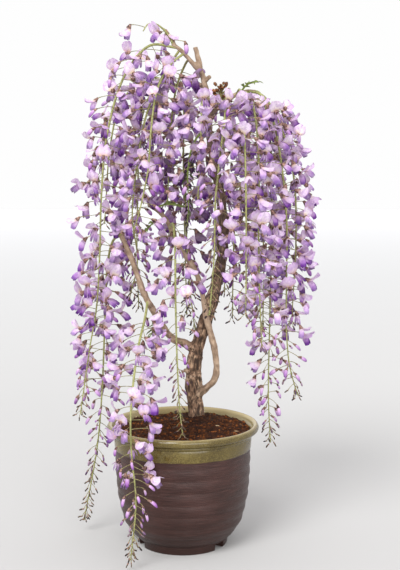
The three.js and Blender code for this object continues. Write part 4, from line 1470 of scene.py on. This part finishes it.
class WISTERIA_OT_racemes(bpy.types.Operator):
    """Hangs every raceme with its flowers and buds"""

    bl_idname = "wisteria.racemes"
    bl_label = "Racemes"

    def execute(self, context):
        build_racemes(context.scene.wisteria_flowers)
        return {"FINISHED"}


class WISTERIA_OT_winter_buds(bpy.types.Operator):
    """Adds the spur of scaly winter buds at the crown"""

    bl_idname = "wisteria.winter_buds"
    bl_label = "Winter buds"

    def execute(self, context):
        build_winter_buds()
        return {"FINISHED"}


class WISTERIA_OT_leaf_shoots(bpy.types.Operator):
    """Adds the young leaf shoots"""

    bl_idname = "wisteria.leaf_shoots"
    bl_label = "Leaf shoots"

    def execute(self, context):
        finishes = [plant_skin("green_shoot", "#9AAC58", "#76893C", 0.45, 2.5), leaf_blade()]
        for name, points in SHOOTS.items():
            build_shoot(name, points, finishes)
        return {"FINISHED"}


class WISTERIA_OT_stage(bpy.types.Operator):
    """Sets up the floor, the lights and the camera"""

    bl_idname = "wisteria.stage"
    bl_label = "Stage"

    def execute(self, context):
        build_stage(context.scene.wisteria_stage)
        return {"FINISHED"}


OPERATORS = (WISTERIA_OT_stage, WISTERIA_OT_pot, WISTERIA_OT_soil, WISTERIA_OT_wood,
             WISTERIA_OT_racemes, WISTERIA_OT_winter_buds, WISTERIA_OT_leaf_shoots)

SETTINGS = {"wisteria_pot": WisteriaPot, "wisteria_wood": WisteriaWood,
            "wisteria_flowers": WisteriaFlowers, "wisteria_stage": WisteriaStage}


class WISTERIA_PT_panel(bpy.types.Panel):
    """Lists the sizes and the steps of the potted wisteria"""

    bl_idname = "WISTERIA_PT_panel"
    bl_label = "Potted Wisteria"
    bl_space_type = "VIEW_3D"
    bl_region_type = "UI"
    bl_category = "Wisteria"

    def draw(self, context):
        for setting, group in SETTINGS.items():
            box = self.layout.box()
            box.label(text=group.__doc__)
            for name in group.__annotations__:
                box.prop(getattr(context.scene, setting), name)
        for operator in OPERATORS:
            self.layout.operator(operator.bl_idname)


def register():
    for group in (*SETTINGS.values(), *OPERATORS, WISTERIA_PT_panel):
        bpy.utils.register_class(group)
    for setting, group in SETTINGS.items():
        setattr(bpy.types.Scene, setting, PointerProperty(type=group))


def unregister():
    for setting in SETTINGS:
        delattr(bpy.types.Scene, setting)
    for group in reversed((*SETTINGS.values(), *OPERATORS, WISTERIA_PT_panel)):
        bpy.utils.unregister_class(group)


def main():
    register()
    bpy.ops.wisteria.stage()
    bpy.ops.wisteria.pot()
    bpy.ops.wisteria.soil()
    bpy.ops.wisteria.wood()
    bpy.ops.wisteria.racemes()
    bpy.ops.wisteria.winter_buds()
    bpy.ops.wisteria.leaf_shoots()


if __name__ == "__main__":
    main()
